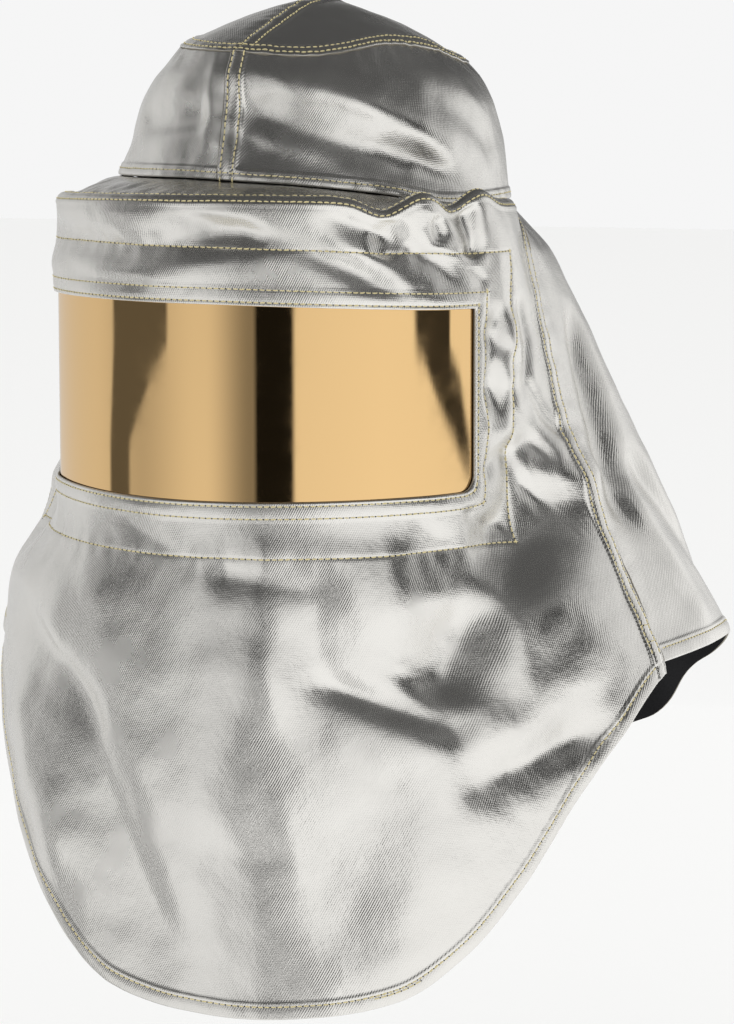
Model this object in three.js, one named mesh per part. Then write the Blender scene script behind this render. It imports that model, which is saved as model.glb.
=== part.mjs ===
// Aluminized hood with a gold visor, sewn from panels of coated cloth.
// Millimetres, +Z up. The wearer faces -Y and their left is +X.
// The origin is the inside of the crown's top, where the head carries the hood.
// A place on the hood is a bearing (0 in front, 90 at the wearer's left, 180 behind, in degrees)
// and a drop (how far it lies below the outside of the crown's top).
import * as THREE from "three";

// Cloth, seams and clearances
const CLOTH = 1.6;
const SEAM_GAP = 0.5;
const SEAM_WIDTH = 11;
const SEAM_RISE = 1.1;
const HEM_WIDTH = 10;
const HEM_RISE = 0.9;
const STEP_RUN = 1.2; // run over which a lapped edge steps down to its panel

// Crown: a domed top on an upright band of oval section
const CROWN_TURN = -4; // the crown sits turned a little to the wearer's right
const DOME_POWER = 1.55; // 1 is a cone, 2 a round bowl
const CROWN_OVALS = [
  { drop: 30, half_width: 78, half_length: 114 },
  { drop: 42, half_width: 91, half_length: 120 },
  { drop: 50, half_width: 100, half_length: 124 },
  { drop: 68, half_width: 111, half_length: 128 },
  { drop: 94, half_width: 117, half_length: 133 },
  { drop: 136, half_width: 121, half_length: 138 },
];
const RING_SEAM = [
  { bearing: -180, drop: 38 },
  { bearing: -67, drop: 31 },
  { bearing: -4, drop: 36 },
  { bearing: 18, drop: 39 },
  { bearing: 55, drop: 31 },
  { bearing: 85, drop: 34 },
  { bearing: 113, drop: 42 },
  { bearing: 180, drop: 38 },
];
const CROWN_BASE = [
  { bearing: -180, drop: 132 },
  { bearing: -110, drop: 124 },
  { bearing: -67, drop: 113 },
  { bearing: -20, drop: 113 },
  { bearing: 10, drop: 116 },
  { bearing: 42, drop: 123 },
  { bearing: 66, drop: 131 },
  { bearing: 110, drop: 129 },
  { bearing: 180, drop: 132 },
];
const BASE_GAP = 0.7; // height between the band's lower edge and what is sewn under it
const BASE_TUCK = 1.8; // how far the sewn pieces reach in under the band

// Brim: a shelf in front of the crown that runs out at the side seams
const BRIM_END = 99.6;
const BRIM_FADE = 6; // bearing over which the body's top edge goes from the brim to the crown
const BRIM_LIP = 1; // the brim stands this far out over the front panel
const BRIM_GAP = 0.8; // height between the brim and the front panel's top edge
const BRIM_BOW = 1.5; // 1 is a straight slope, more is flat first and steep at the edge
const BRIM_EDGE = [
  { bearing: 0, radius: 192, drop: 125 },
  { bearing: 37, radius: 185, drop: 126 },
  { bearing: 57, radius: 170, drop: 127 },
  { bearing: 67, radius: 161, drop: 129 },
  { bearing: 80, radius: 148, drop: 130 },
  { bearing: 96, radius: 126, drop: 132 },
  { bearing: 110, radius: 121, drop: 134 },
];
const RUFFLES = [
  { bearing: 36, half_turn: 5, dip: 8, out: -3 },
  { bearing: 44, half_turn: 4, dip: -3, out: 2 },
  { bearing: 52, half_turn: 4, dip: 6, out: -4 },
  { bearing: 61, half_turn: 5, dip: -5, out: 2 },
  { bearing: -80, half_turn: 6, dip: 4, out: -2 },
];

// Body: plan radius by bearing at each drop
const BODY_BEARINGS = { front: 0, cheek: 45, temple: 66, side: 93, quarter: 120, rear: 150, back: 180 };
const BODY = [
  { drop: 126, front: 190, cheek: 179, temple: 163, side: 132, quarter: 123, rear: 130, back: 134 },
  { drop: 160, front: 190, cheek: 179, temple: 167, side: 146, quarter: 150, rear: 150, back: 150 },
  { drop: 200, front: 190, cheek: 179, temple: 167, side: 157, quarter: 171, rear: 170, back: 165 },
  { drop: 250, front: 190, cheek: 179, temple: 167, side: 171, quarter: 195, rear: 188, back: 178 },
  { drop: 290, front: 190, cheek: 179, temple: 169, side: 184, quarter: 215, rear: 202, back: 188 },
  { drop: 315, front: 192, cheek: 184, temple: 184, side: 194, quarter: 227, rear: 210, back: 194 },
  { drop: 340, front: 194, cheek: 192, temple: 192, side: 203, quarter: 239, rear: 218, back: 200 },
  { drop: 380, front: 198, cheek: 201, temple: 206, side: 221, quarter: 258, rear: 230, back: 208 },
  { drop: 420, front: 202, cheek: 205, temple: 209, side: 239, quarter: 275, rear: 238, back: 212 },
  { drop: 480, front: 206, cheek: 209, temple: 214, side: 250, quarter: 280, rear: 242, back: 214 },
  { drop: 640, front: 208, cheek: 211, temple: 214, side: 252, quarter: 280, rear: 242, back: 214 },
];
const EASE = 34; // height over which the body runs into the edge that it hangs from

// Side seams between the front and back panels
const SIDE_GAP = 0.9;
const SIDE_SEAM = [
  { drop: 131, bearing: 100 },
  { drop: 160, bearing: 88 },
  { drop: 203, bearing: 87 },
  { drop: 281, bearing: 89 },
  { drop: 340, bearing: 90 },
  { drop: 421, bearing: 91 },
];

// Hems: the bib hangs a little to the wearer's left
const BIB_TURN = 11;
const BIB_DROP = 620;
const BIB_HEM = [
  { bearing: 0, rise: 0 },
  { bearing: 14, rise: 3 },
  { bearing: 26, rise: 11 },
  { bearing: 37, rise: 34 },
  { bearing: 48, rise: 71 },
  { bearing: 66, rise: 149 },
  { bearing: 80, rise: 193 },
  { bearing: 102, rise: 208 },
];
const BACK_HEM = [
  { bearing: 86, drop: 420 },
  { bearing: 113, drop: 416 },
  { bearing: 128, drop: 445 },
  { bearing: 140, drop: 495 },
  { bearing: 180, drop: 545 },
];

// Folds: a line from one place to another, its width, and how far it stands out or, if negative, in
const CROWN_FOLDS = [
  { from_bearing: 8, from_drop: 62, to_bearing: 48, to_drop: 66, width: 13, height: 4 },
  { from_bearing: 48, from_drop: 66, to_bearing: 74, to_drop: 108, width: 13, height: 4 },
  { from_bearing: 6, from_drop: 76, to_bearing: 47, to_drop: 104, width: 12, height: -7 },
  { from_bearing: 47, from_drop: 104, to_bearing: 72, to_drop: 117, width: 10, height: -5 },
  { from_bearing: -26, from_drop: 73, to_bearing: -10, to_drop: 70, width: 9, height: -4 },
  { from_bearing: -34, from_drop: 98, to_bearing: -12, to_drop: 96, width: 9, height: -4 },
  { from_bearing: 125, from_drop: 66, to_bearing: 165, to_drop: 100, width: 14, height: -5 },
  { from_bearing: -150, from_drop: 68, to_bearing: -105, to_drop: 98, width: 14, height: -5 },
];
const BODY_FOLDS = [
  { from_bearing: -60, from_drop: 345, to_bearing: -28, to_drop: 415, width: 17, height: 6 },
  { from_bearing: -52, from_drop: 375, to_bearing: -19, to_drop: 455, width: 11, height: -9 },
  { from_bearing: -19, from_drop: 455, to_bearing: -3, to_drop: 600, width: 24, height: -8 },
  { from_bearing: -46, from_drop: 440, to_bearing: -26, to_drop: 540, width: 24, height: 6 },
  { from_bearing: 80, from_drop: 322, to_bearing: 62, to_drop: 360, width: 18, height: -12 },
  { from_bearing: 62, from_drop: 360, to_bearing: 45, to_drop: 405, width: 20, height: -13 },
  { from_bearing: 45, from_drop: 428, to_bearing: 30, to_drop: 418, width: 10, height: -7 },
  { from_bearing: 82, from_drop: 372, to_bearing: 50, to_drop: 445, width: 20, height: 8 },
  { from_bearing: 72, from_drop: 294, to_bearing: 80, to_drop: 300, width: 10, height: -6 },
  { from_bearing: 49, from_drop: 479, to_bearing: 75, to_drop: 455, width: 12, height: -7 },
  { from_bearing: 9, from_drop: 352, to_bearing: 22, to_drop: 358, width: 10, height: -4 },
  { from_bearing: 37, from_drop: 460, to_bearing: 25, to_drop: 580, width: 30, height: -5 },
  { from_bearing: 10, from_drop: 390, to_bearing: 5, to_drop: 500, width: 34, height: 5 },
  { from_bearing: 56, from_drop: 136, to_bearing: 57, to_drop: 156, width: 7, height: -9 },
  { from_bearing: 38, from_drop: 138, to_bearing: 36, to_drop: 158, width: 8, height: -4 },
  { from_bearing: 103, from_drop: 222, to_bearing: 100, to_drop: 300, width: 14, height: -8 },
  { from_bearing: 101, from_drop: 318, to_bearing: 106, to_drop: 389, width: 14, height: 5 },
  { from_bearing: 128, from_drop: 260, to_bearing: 134, to_drop: 470, width: 22, height: -11 },
  { from_bearing: 158, from_drop: 230, to_bearing: 164, to_drop: 530, width: 24, height: 8 },
  { from_bearing: -176, from_drop: 260, to_bearing: -174, to_drop: 540, width: 22, height: -9 },
  { from_bearing: -148, from_drop: 240, to_bearing: -150, to_drop: 510, width: 24, height: 8 },
  { from_bearing: -122, from_drop: 260, to_bearing: -130, to_drop: 450, width: 20, height: -10 },
  { from_bearing: -78, from_drop: 320, to_bearing: -70, to_drop: 420, width: 16, height: -7 },
];

// Window and visor
const WINDOW = [
  { bearing: -120, top: 189, bottom: 304 },
  { bearing: -60, top: 186, bottom: 303 },
  { bearing: 0, top: 187, bottom: 306 },
  { bearing: 60, top: 192, bottom: 304 },
  { bearing: 120, top: 189, bottom: 304 },
]; // the lines run on past the window's ends
const WINDOW_HALF = 57.6; // bearing of the window's ends
const WINDOW_CORNER = 4; // how far the lower corners of the window are eased inwards
const FRAME_LIP = 10; // turned edge of the window
const FRAME_WIDTH = 34; // stitched surround of the window, kept free of folds
const VISOR = 1.5;
const VISOR_MARGIN = 9; // cover of the cloth over the visor above and below the window
const VISOR_MARGIN_TURN = 3.4;
const VISOR_LEVEL = 247; // the visor is upright, with the body's section at this drop

// Grids
const CROWN_ROWS = 6;
const TOP_COLUMNS = 5;
const TOP_ROWS = 9;
const RIM_SHARE = 0.88; // the top is lapped over the band from this share of its half width outwards
const BRIM_REACHES = [0, 40, 76, 79, 100];
const WINDOW_COLUMNS = 13; // from the middle of the window to one end
const CHEEK_COLUMNS = 4;
const BROW_ROWS = 2;
const WINDOW_ROWS = 5;
const BIB_ROWS = 15;
const BACK_COLUMNS = 28;
const BACK_ROWS = 13;
const VISOR_COLUMNS = 24;
const VISOR_ROWS = 2;
const SETTLE_PASSES = 4;
const PROBE_TURN = 0.5; // steps for reading a surface's slope
const PROBE_DOWN = 2;

const { clamp, degToRad, euclideanModulo, lerp, radToDeg, smoothstep } = THREE.MathUtils;

const wrap = (bearing) => euclideanModulo(bearing + 180, 360) - 180;
const spread = (from, to, steps) => Array.from({ length: steps + 1 }, (_, i) => lerp(from, to, i / steps));
const bell = (distance) => Math.exp(-distance * distance);

// Smooth curve through one column of a table, without overshoot
function along(rows, key, column, at, flatEnds) {
  const last = rows.length - 1;
  const x = clamp(at, rows[0][key], rows[last][key]);
  const secant = (i) => (rows[i + 1][column] - rows[i][column]) / (rows[i + 1][key] - rows[i][key]);
  const slope = (i) => {
    if (i === 0 || i === last) return flatEnds ? 0 : secant(Math.min(i, last - 1));
    const before = secant(i - 1);
    const after = secant(i);
    return before * after > 0 ? (2 * before * after) / (before + after) : 0;
  };
  let i = 0;
  while (i < last - 1 && x > rows[i + 1][key]) i += 1;
  const span = rows[i + 1][key] - rows[i][key];
  const t = (x - rows[i][key]) / span;
  const eased = lerp(rows[i][column], rows[i + 1][column], t * t * (3 - 2 * t));
  return eased + t * (1 - t) * span * ((1 - t) * slope(i) - t * slope(i + 1));
}

const byDrop = (rows, column, drop) => along(rows, "drop", column, drop, false);
const byBearing = (rows, column, bearing) => along(rows, "bearing", column, wrap(bearing), true);
const byEitherSide = (rows, column, bearing) => byBearing(rows, column, Math.abs(wrap(bearing)));

function place(bearing, radius, drop) {
  const turn = degToRad(bearing);
  return new THREE.Vector3(radius * Math.sin(turn), -radius * Math.cos(turn), CLOTH - drop);
}

// How far the folds push a surface out at a place, on cloth of this plan radius
function foldHeight(folds, bearing, drop, radius) {
  const flat = (turn, down) => new THREE.Vector2(degToRad(turn) * radius, down);
  return folds.reduce((sum, fold) => {
    const at = flat(wrap(bearing - fold.from_bearing), drop - fold.from_drop);
    const run = flat(fold.to_bearing - fold.from_bearing, fold.to_drop - fold.from_drop);
    const share = clamp(at.dot(run) / run.lengthSq(), 0, 1);
    const away = at.distanceTo(run.multiplyScalar(share));
    return sum + fold.height * bell(away / fold.width);
  }, 0);
}

// Crown surface: level 0 is the top, 100 the ring seam, 200 the lower edge of the band
function crownRadius(bearing, drop) {
  const turn = degToRad(bearing - CROWN_TURN);
  const across = Math.sin(turn) / byDrop(CROWN_OVALS, "half_width", drop);
  const ahead = Math.cos(turn) / byDrop(CROWN_OVALS, "half_length", drop);
  return 1 / Math.hypot(across, ahead);
}

function crownBase(bearing) {
  const drop = byBearing(CROWN_BASE, "drop", bearing);
  return { drop, radius: crownRadius(bearing, drop) };
}

function crownPoint(bearing, level) {
  const ring = byBearing(RING_SEAM, "drop", bearing);
  const share = level / 100;
  if (share <= 1) {
    const domed = ring * Math.abs(share) ** DOME_POWER;
    return place(bearing, share * crownRadius(bearing, ring), domed);
  }
  const drop = lerp(ring, crownBase(bearing).drop, share - 1);
  const radius = crownRadius(bearing, drop);
  const slack = 4 * (share - 1) * Math.max(0, 2 - share);
  return place(bearing, radius + slack * foldHeight(CROWN_FOLDS, bearing, drop, radius), drop);
}

// Brim surface: reach 0 is under the crown's edge, 100 the outer edge
function brimEdge(bearing) {
  const ruffled = (column) =>
    RUFFLES.reduce((sum, row) => sum + row[column] * bell((bearing - row.bearing) / row.half_turn), 0);
  return {
    radius: byEitherSide(BRIM_EDGE, "radius", bearing) + ruffled("out"),
    drop: byEitherSide(BRIM_EDGE, "drop", bearing) + ruffled("dip"),
  };
}

function brimPoint(bearing, reach) {
  const base = crownBase(bearing);
  const edge = brimEdge(bearing);
  const share = reach / 100;
  const drop = lerp(base.drop + BASE_GAP, edge.drop, Math.max(0, share) ** BRIM_BOW);
  return place(bearing, lerp(base.radius - BASE_TUCK, edge.radius, share), drop);
}

// Body surface: hangs from the brim in front and from the crown behind
function bodyTop(bearing) {
  const edge = brimEdge(bearing);
  const base = crownBase(bearing);
  const behind = smoothstep(Math.abs(bearing), BRIM_END, BRIM_END + BRIM_FADE);
  return {
    radius: lerp(edge.radius - BRIM_LIP, base.radius - BASE_TUCK, behind),
    drop: lerp(edge.drop + CLOTH + BRIM_GAP, base.drop + BASE_GAP, behind),
  };
}

function bodySection(bearing, drop) {
  const names = Object.keys(BODY_BEARINGS);
  const rows = names.map((name) => ({ bearing: BODY_BEARINGS[name], radius: byDrop(BODY, name, drop) }));
  return byEitherSide(rows, "radius", bearing);
}

function windowAt(bearing) {
  return { top: byBearing(WINDOW, "top", bearing), bottom: byBearing(WINDOW, "bottom", bearing) };
}

// 0 on the stitched surround of the window and at the top edge, 1 where the cloth is free to fold
function freedom(bearing, drop, radius, top) {
  const open = windowAt(bearing);
  const beside = Math.max(0, degToRad(Math.abs(bearing) - WINDOW_HALF) * radius);
  const above = Math.max(0, open.top - drop, drop - open.bottom);
  const fromWindow = smoothstep(Math.hypot(beside, above), FRAME_LIP, FRAME_WIDTH);
  return fromWindow * smoothstep(drop - top, 0, SEAM_WIDTH);
}

function bodyPoint(turned, drop) {
  const bearing = wrap(turned);
  const top = bodyTop(bearing);
  const radius = bodySection(bearing, drop);
  const ease = 1 - smoothstep(drop - top.drop, 0, EASE);
  const toEdge = ease * (top.radius - bodySection(bearing, top.drop));
  const fold = freedom(bearing, drop, radius, top.drop) * foldHeight(BODY_FOLDS, bearing, drop, radius);
  return place(bearing, radius + toEdge + fold, drop);
}

const visorPoint = (bearing, drop) => place(bearing, bodySection(bearing, VISOR_LEVEL), drop);
const seamBearing = (drop) => byDrop(SIDE_SEAM, "bearing", drop);
const bibHem = (bearing) => BIB_DROP - byEitherSide(BIB_HEM, "rise", bearing - BIB_TURN);
const backHem = (bearing) => byEitherSide(BACK_HEM, "drop", bearing);

// Outward normal of a surface whose first parameter turns left and second goes down or out
function normalOf(surface, first, second) {
  const turned = surface(first + PROBE_TURN, second).sub(surface(first - PROBE_TURN, second));
  const lowered = surface(first, second + PROBE_DOWN).sub(surface(first, second - PROBE_DOWN));
  return lowered.cross(turned).normalize();
}

// Closed wall between two layers of points on one grid, with the cells of a hole left out
function wall(outer, inner, isHole) {
  const columns = outer[0].length;
  const count = outer.length * columns;
  const faces = [];
  const edges = new Map();
  const addEdge = (a, b) => {
    if (!edges.delete(`${b},${a}`)) edges.set(`${a},${b}`, [a, b]);
  };
  for (let i = 0; i < outer.length - 1; i += 1) {
    for (let j = 0; j < columns - 1; j += 1) {
      if (isHole(i, j)) continue;
      const corner = i * columns + j;
      const ring = [corner, corner + columns, corner + columns + 1, corner + 1];
      faces.push([ring[0], ring[1], ring[2]], [ring[0], ring[2], ring[3]]);
      ring.forEach((a, k) => addEdge(a, ring[(k + 1) % ring.length]));
    }
  }
  const inside = faces.map(([a, b, c]) => [a + count, c + count, b + count]);
  const rim = [...edges.values()].flatMap(([a, b]) => [
    [a, a + count, b + count],
    [a, b + count, b],
  ]);
  const points = [...outer.flat(), ...inner.flat()].flatMap((point) => point.toArray());
  const indexed = new THREE.BufferGeometry();
  indexed.setAttribute("position", new THREE.Float32BufferAttribute(points, 3));
  indexed.setIndex([...faces, ...inside, ...rim].flat());
  const geometry = indexed.toNonIndexed();
  geometry.computeVertexNormals();
  return geometry;
}

// Wall that follows a surface over a grid of parameters, from a depth below it to a rise above it
function panel(surface, grid, { rise, depth = CLOTH, isHole = () => false }) {
  const layer = (offset) =>
    grid.map((row, i) =>
      row.map(([first, second], j) =>
        surface(first, second).addScaledVector(normalOf(surface, first, second), offset(i, j)),
      ),
    );
  return wall(layer(rise), layer((i, j) => Math.min(0, rise(i, j)) - depth), isHole);
}

// A half of the crown's top, laid out on a square grid drawn out to the oval of the ring seam
const TOP_OVAL = CROWN_OVALS[0];
const GAP_SHARE = SEAM_GAP / 2 / TOP_OVAL.half_width;
const SEAM_SHARE = SEAM_WIDTH / TOP_OVAL.half_width;
const STEP_SHARE = STEP_RUN / TOP_OVAL.half_width;
const FREE_SHARE = RIM_SHARE - STEP_SHARE;
const TOP_FREE = spread(SEAM_SHARE + STEP_SHARE, FREE_SHARE, TOP_COLUMNS);
const TOP_ACROSS = [0, SEAM_SHARE, ...TOP_FREE, RIM_SHARE, 1];
const TOP_BACKWARDS = [-1, -RIM_SHARE, ...spread(-FREE_SHARE, FREE_SHARE, TOP_ROWS), RIM_SHARE, 1];

// Bearing from the crown's own front, and level, of one place on that grid
function topCell(across, backwards) {
  const x = lerp(GAP_SHARE, 1, across) * Math.sqrt(1 - backwards ** 2 / 2);
  const y = backwards * Math.sqrt(1 - across ** 2 / 2);
  const turn = Math.atan2(x * TOP_OVAL.half_width, -y * TOP_OVAL.half_length);
  return [radToDeg(turn), 100 * Math.min(1, Math.hypot(x, y))];
}

// Bearings along the ring seam, from the crown's front to its back
const RIM_TURNS = [
  ...TOP_ACROSS.map((across) => topCell(across, -1)),
  ...TOP_BACKWARDS.slice(1, -1).map((backwards) => topCell(1, backwards)),
  ...[...TOP_ACROSS].reverse().map((across) => topCell(across, 1)),
].map(([turn]) => turn);

function crownTop(side) {
  const columns = side > 0 ? TOP_ACROSS : [...TOP_ACROSS].reverse();
  const rows = [...TOP_BACKWARDS].reverse();
  const cell = (across, backwards) => {
    const [turn, level] = topCell(across, backwards);
    return [CROWN_TURN + side * turn, level * (1 - GAP_SHARE)];
  };
  const grid = rows.map((backwards) => columns.map((across) => cell(across, backwards)));
  const onSeam = (j) => side > 0 && columns[j] <= SEAM_SHARE;
  const onRim = (i, j) => Math.abs(rows[i]) >= RIM_SHARE || columns[j] >= RIM_SHARE;
  return panel(crownPoint, grid, { rise: (i, j) => (onSeam(j) || onRim(i, j) ? SEAM_RISE : 0) });
}

// A half of the crown's band, lapped over its neighbour in front and behind on the wearer's left
function crownSide(side) {
  const turns = side > 0 ? RIM_TURNS : RIM_TURNS.map((turn) => -turn).reverse();
  const percent = 100 / (CROWN_BASE[0].drop - RING_SEAM[0].drop);
  const foot = 200 - SEAM_WIDTH * percent;
  const head = 100 + (SEAM_GAP / 2) * percent;
  const levels = [...spread(head, foot - STEP_RUN * percent, CROWN_ROWS), foot, 200];
  const grid = levels.map((level) => turns.map((turn) => [CROWN_TURN + turn, level]));
  const onSeam = (j) => side > 0 && (j < 2 || j > turns.length - 3);
  return panel(crownPoint, grid, { rise: (i, j) => (onSeam(j) || levels[i] >= foot ? SEAM_RISE : 0) });
}

function brim() {
  const inner = frontBearings(BRIM_EDGE[0].drop).slice(1, -1);
  const bearings = [-BRIM_END, ...inner, BRIM_END];
  const grid = BRIM_REACHES.map((reach) => bearings.map((bearing) => [bearing, reach]));
  return panel(brimPoint, grid, { rise: (i) => (i > 2 ? SEAM_RISE : 0) });
}

// Bearings of the front panel's columns at a drop: fixed round the window, then spread to the seam
function frontBearings(drop) {
  const seam = seamBearing(drop);
  const perMillimetre = radToDeg(1 / bodySection(seam, drop));
  const lip = WINDOW_HALF + radToDeg(FRAME_LIP / BODY[0].temple);
  const frame = WINDOW_HALF + radToDeg(FRAME_WIDTH / BODY[0].temple);
  const band = seam - SEAM_WIDTH * perMillimetre;
  const half = [
    ...spread(0, WINDOW_HALF, WINDOW_COLUMNS),
    lip,
    ...spread(frame, band - STEP_RUN * perMillimetre, CHEEK_COLUMNS),
    band,
    seam - (SIDE_GAP / 2) * perMillimetre,
  ];
  return [...half.slice(1).reverse().map((bearing) => -bearing), ...half];
}

// Drops of the front panel's rows at a bearing: brow, surround of the window, bib and hem
function frontDrops(bearing) {
  const open = windowAt(bearing);
  const hem = bibHem(bearing);
  return [
    ...spread(bodyTop(bearing).drop, open.top - FRAME_WIDTH, BROW_ROWS),
    open.top - FRAME_LIP,
    ...spread(open.top, open.bottom, WINDOW_ROWS),
    open.bottom + FRAME_LIP,
    ...spread(open.bottom + FRAME_WIDTH, hem - HEM_WIDTH - STEP_RUN, BIB_ROWS),
    hem - HEM_WIDTH,
    hem,
  ];
}

// Drops of the back panel's rows at a bearing
function backDrops(bearing) {
  const hem = backHem(bearing);
  const brow = windowAt(bearing).top - FRAME_WIDTH;
  return [
    ...spread(bodyTop(wrap(bearing)).drop, brow, BROW_ROWS).slice(0, -1),
    ...spread(brow, hem - HEM_WIDTH - STEP_RUN, BACK_ROWS),
    hem - HEM_WIDTH,
    hem,
  ];
}

// Bearings of the back panel's columns at a drop, from one side seam round to the other
function backBearings(drop) {
  const seam = seamBearing(drop);
  const edge = seam + radToDeg(SIDE_GAP / 2 / bodySection(seam, drop));
  return spread(edge, 360 - edge, BACK_COLUMNS);
}

// Grid whose columns lean with the drop and whose rows lean with the bearing
function leaningGrid(bearingsAt, dropsAt) {
  const settle = (i, j) => {
    let drop = VISOR_LEVEL;
    for (let pass = 0; pass < SETTLE_PASSES; pass += 1) drop = dropsAt(bearingsAt(drop)[j])[i];
    return [bearingsAt(drop)[j], drop];
  };
  return dropsAt(0).map((_, i) => bearingsAt(VISOR_LEVEL).map((_, j) => settle(i, j)));
}

function frontPanel() {
  const grid = leaningGrid(frontBearings, frontDrops);
  const firstRow = BROW_ROWS + 2;
  const lastRow = firstRow + WINDOW_ROWS;
  const middle = (grid[0].length - 1) / 2;
  const perMillimetre = radToDeg(1 / BODY[0].temple);
  [-1, 1].forEach((side) => {
    const corner = grid[lastRow][middle + side * WINDOW_COLUMNS];
    corner[0] -= side * WINDOW_CORNER * perMillimetre;
    corner[1] -= WINDOW_CORNER;
  });
  const onSeam = (j) => j < 2 || j > grid[0].length - 3;
  const onHem = (i) => i > grid.length - 3;
  const inWindow = (j) => j >= middle - WINDOW_COLUMNS && j < middle + WINDOW_COLUMNS;
  return panel(bodyPoint, grid, {
    rise: (i, j) => Math.max(onSeam(j) ? SEAM_RISE : 0, onHem(i) ? HEM_RISE : 0),
    isHole: (i, j) => i >= firstRow && i < lastRow && inWindow(j),
  });
}

function backPanel() {
  const grid = leaningGrid(backBearings, backDrops);
  return panel(bodyPoint, grid, { rise: (i) => (i > grid.length - 3 ? HEM_RISE : 0) });
}

function visor() {
  const half = WINDOW_HALF + VISOR_MARGIN_TURN;
  const dropsAt = (bearing) => {
    const open = windowAt(bearing);
    return spread(open.top - VISOR_MARGIN, open.bottom + VISOR_MARGIN, VISOR_ROWS);
  };
  const grid = leaningGrid(() => spread(-half, half, VISOR_COLUMNS), dropsAt);
  return panel(visorPoint, grid, { rise: () => -CLOTH - SEAM_GAP, depth: VISOR });
}

const aluminizedTwill = () =>
  new THREE.MeshStandardMaterial({ color: 0xb9b8b4, roughness: 0.32, metalness: 0.9 });
const goldLens = () => new THREE.MeshStandardMaterial({ color: 0xc79a52, roughness: 0.06, metalness: 1 });

const hood = new THREE.Group();

function add(name, geometry, material) {
  const mesh = new THREE.Mesh(geometry, material);
  mesh.name = name;
  hood.add(mesh);
}

add("crown_top_left", crownTop(1), aluminizedTwill());
add("crown_top_right", crownTop(-1), aluminizedTwill());
add("crown_side_left", crownSide(1), aluminizedTwill());
add("crown_side_right", crownSide(-1), aluminizedTwill());
add("brim", brim(), aluminizedTwill());
add("front_panel", frontPanel(), aluminizedTwill());
add("back_panel", backPanel(), aluminizedTwill());
add("visor", visor(), goldLens());

export default hood;
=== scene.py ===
import math

import bpy
import numpy as np
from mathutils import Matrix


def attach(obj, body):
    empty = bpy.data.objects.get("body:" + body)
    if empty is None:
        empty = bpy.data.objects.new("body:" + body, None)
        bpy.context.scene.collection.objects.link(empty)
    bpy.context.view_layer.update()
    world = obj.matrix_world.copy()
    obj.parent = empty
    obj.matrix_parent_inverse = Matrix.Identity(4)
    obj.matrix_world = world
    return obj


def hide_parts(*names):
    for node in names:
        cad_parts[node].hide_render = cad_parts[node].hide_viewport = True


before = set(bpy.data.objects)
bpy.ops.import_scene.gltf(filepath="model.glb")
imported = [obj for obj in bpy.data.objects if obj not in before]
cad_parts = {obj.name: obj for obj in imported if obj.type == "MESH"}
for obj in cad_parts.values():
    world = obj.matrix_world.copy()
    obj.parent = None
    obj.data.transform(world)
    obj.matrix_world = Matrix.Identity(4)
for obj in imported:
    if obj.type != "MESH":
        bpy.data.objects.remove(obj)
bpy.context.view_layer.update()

bl_info = {
    "name": "Aluminized hood",
    "version": (1, 0, 0),
    "blender": (4, 5, 0),
    "location": "View3D > Sidebar > Hood",
    "description": "Dresses an aluminized hood: crown, brim, panels, visor and stitching",
    "category": "Object",
}

# Shapes are worked out in millimetres. A place on the hood is a bearing (0 in front, 90 at the
# wearer's left, 180 behind, in degrees) and a drop below the outside of the crown's top.
MM = 0.001
BODY_NAME = "root"
CLOTH_SLOT = "aluminized_twill"
LENS_SLOT = "gold_lens"

SIDE_GAP = 0.5  # between the two panels of a side seam
SEAM_WIDTH = 12.0  # lapped strip of a seam
SEAM_LINES = (2.4, 10.2)  # stitch lines of a lapped seam, from its edge
HEM_WIDTH = 10.5
HEM_LINE = 8.2
HEM_RISE = 0.9
HEM_TACK = (33, 40)  # bearings between which the hem's stitching overlaps itself
TACK_STEP = 1.5
TACK_DROPS = (396, 406)  # stitches across the foot of a side seam
GROOVE_DEPTH = 0.45  # how far a stitch line is drawn into the cloth
GROOVE_WIDTH = 1.0
ROLL = 1.2  # rounding of a turned edge
STRIP_BULGE = 0.5
STRIP_FALL = (-0.4, 1.2)  # where a strip's edge falls off, from its width
THREAD_LIFT = 0.12  # how far a sewing line lies above the cloth
SEAM_DROPS = (136, 412)  # between which a side seam is sewn
BIB_HEM_TURN = 88  # bearing to which the bib's hem is sewn on either side
BACK_HEM_TURNS = (92, 268)

CROWN_TURN = -4.0
DOME_POWER = 1.55
# drop, half width, half length
CROWN_OVALS = (
    (30, 78, 114),
    (42, 91, 120),
    (50, 100, 124),
    (68, 111, 128),
    (94, 117, 133),
    (136, 121, 138),
)
# bearing, drop
RING_SEAM = ((-180, 38), (-67, 31), (-4, 36), (18, 39), (55, 31), (85, 34), (113, 42), (180, 38))
CROWN_BASE = (
    (-180, 132),
    (-110, 124),
    (-67, 113),
    (-20, 113),
    (10, 116),
    (42, 123),
    (66, 131),
    (110, 129),
    (180, 132),
)
CROWN_FLARE = (-70, 32, 88, 116, 8)  # bearing, half turn, from drop, to drop, out
BASE_GAP = 0.7
BASE_TUCK = 1.8
RING_LINES = (3.4, 9.4)  # stitch lines of the crown's ring seam, from the top's edge
TOP_LINES = (2.4, 10.0)
BASE_LINE = 4.5
BASE_STRIP = 7.5
BASE_RISE = 0.7  # share of a seam's rise
RING_GAP = 0.2

BRIM_END = 99.6
BRIM_FADE = 6.0
BRIM_TUCK = 7.5  # how far the brim's edge lies inside the front panel's shoulder
BRIM_GAP = 1.0
BRIM_BOW = 1.5
BRIM_SEAT = 4.0  # most that the brim's ends lie below the crown's edge
SHOULDER = 11.0  # rounding of the front panel over the brim
SHOULDER_LINES = (2.6, 9.0)
SHOULDER_STRIP = 11.5
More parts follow.
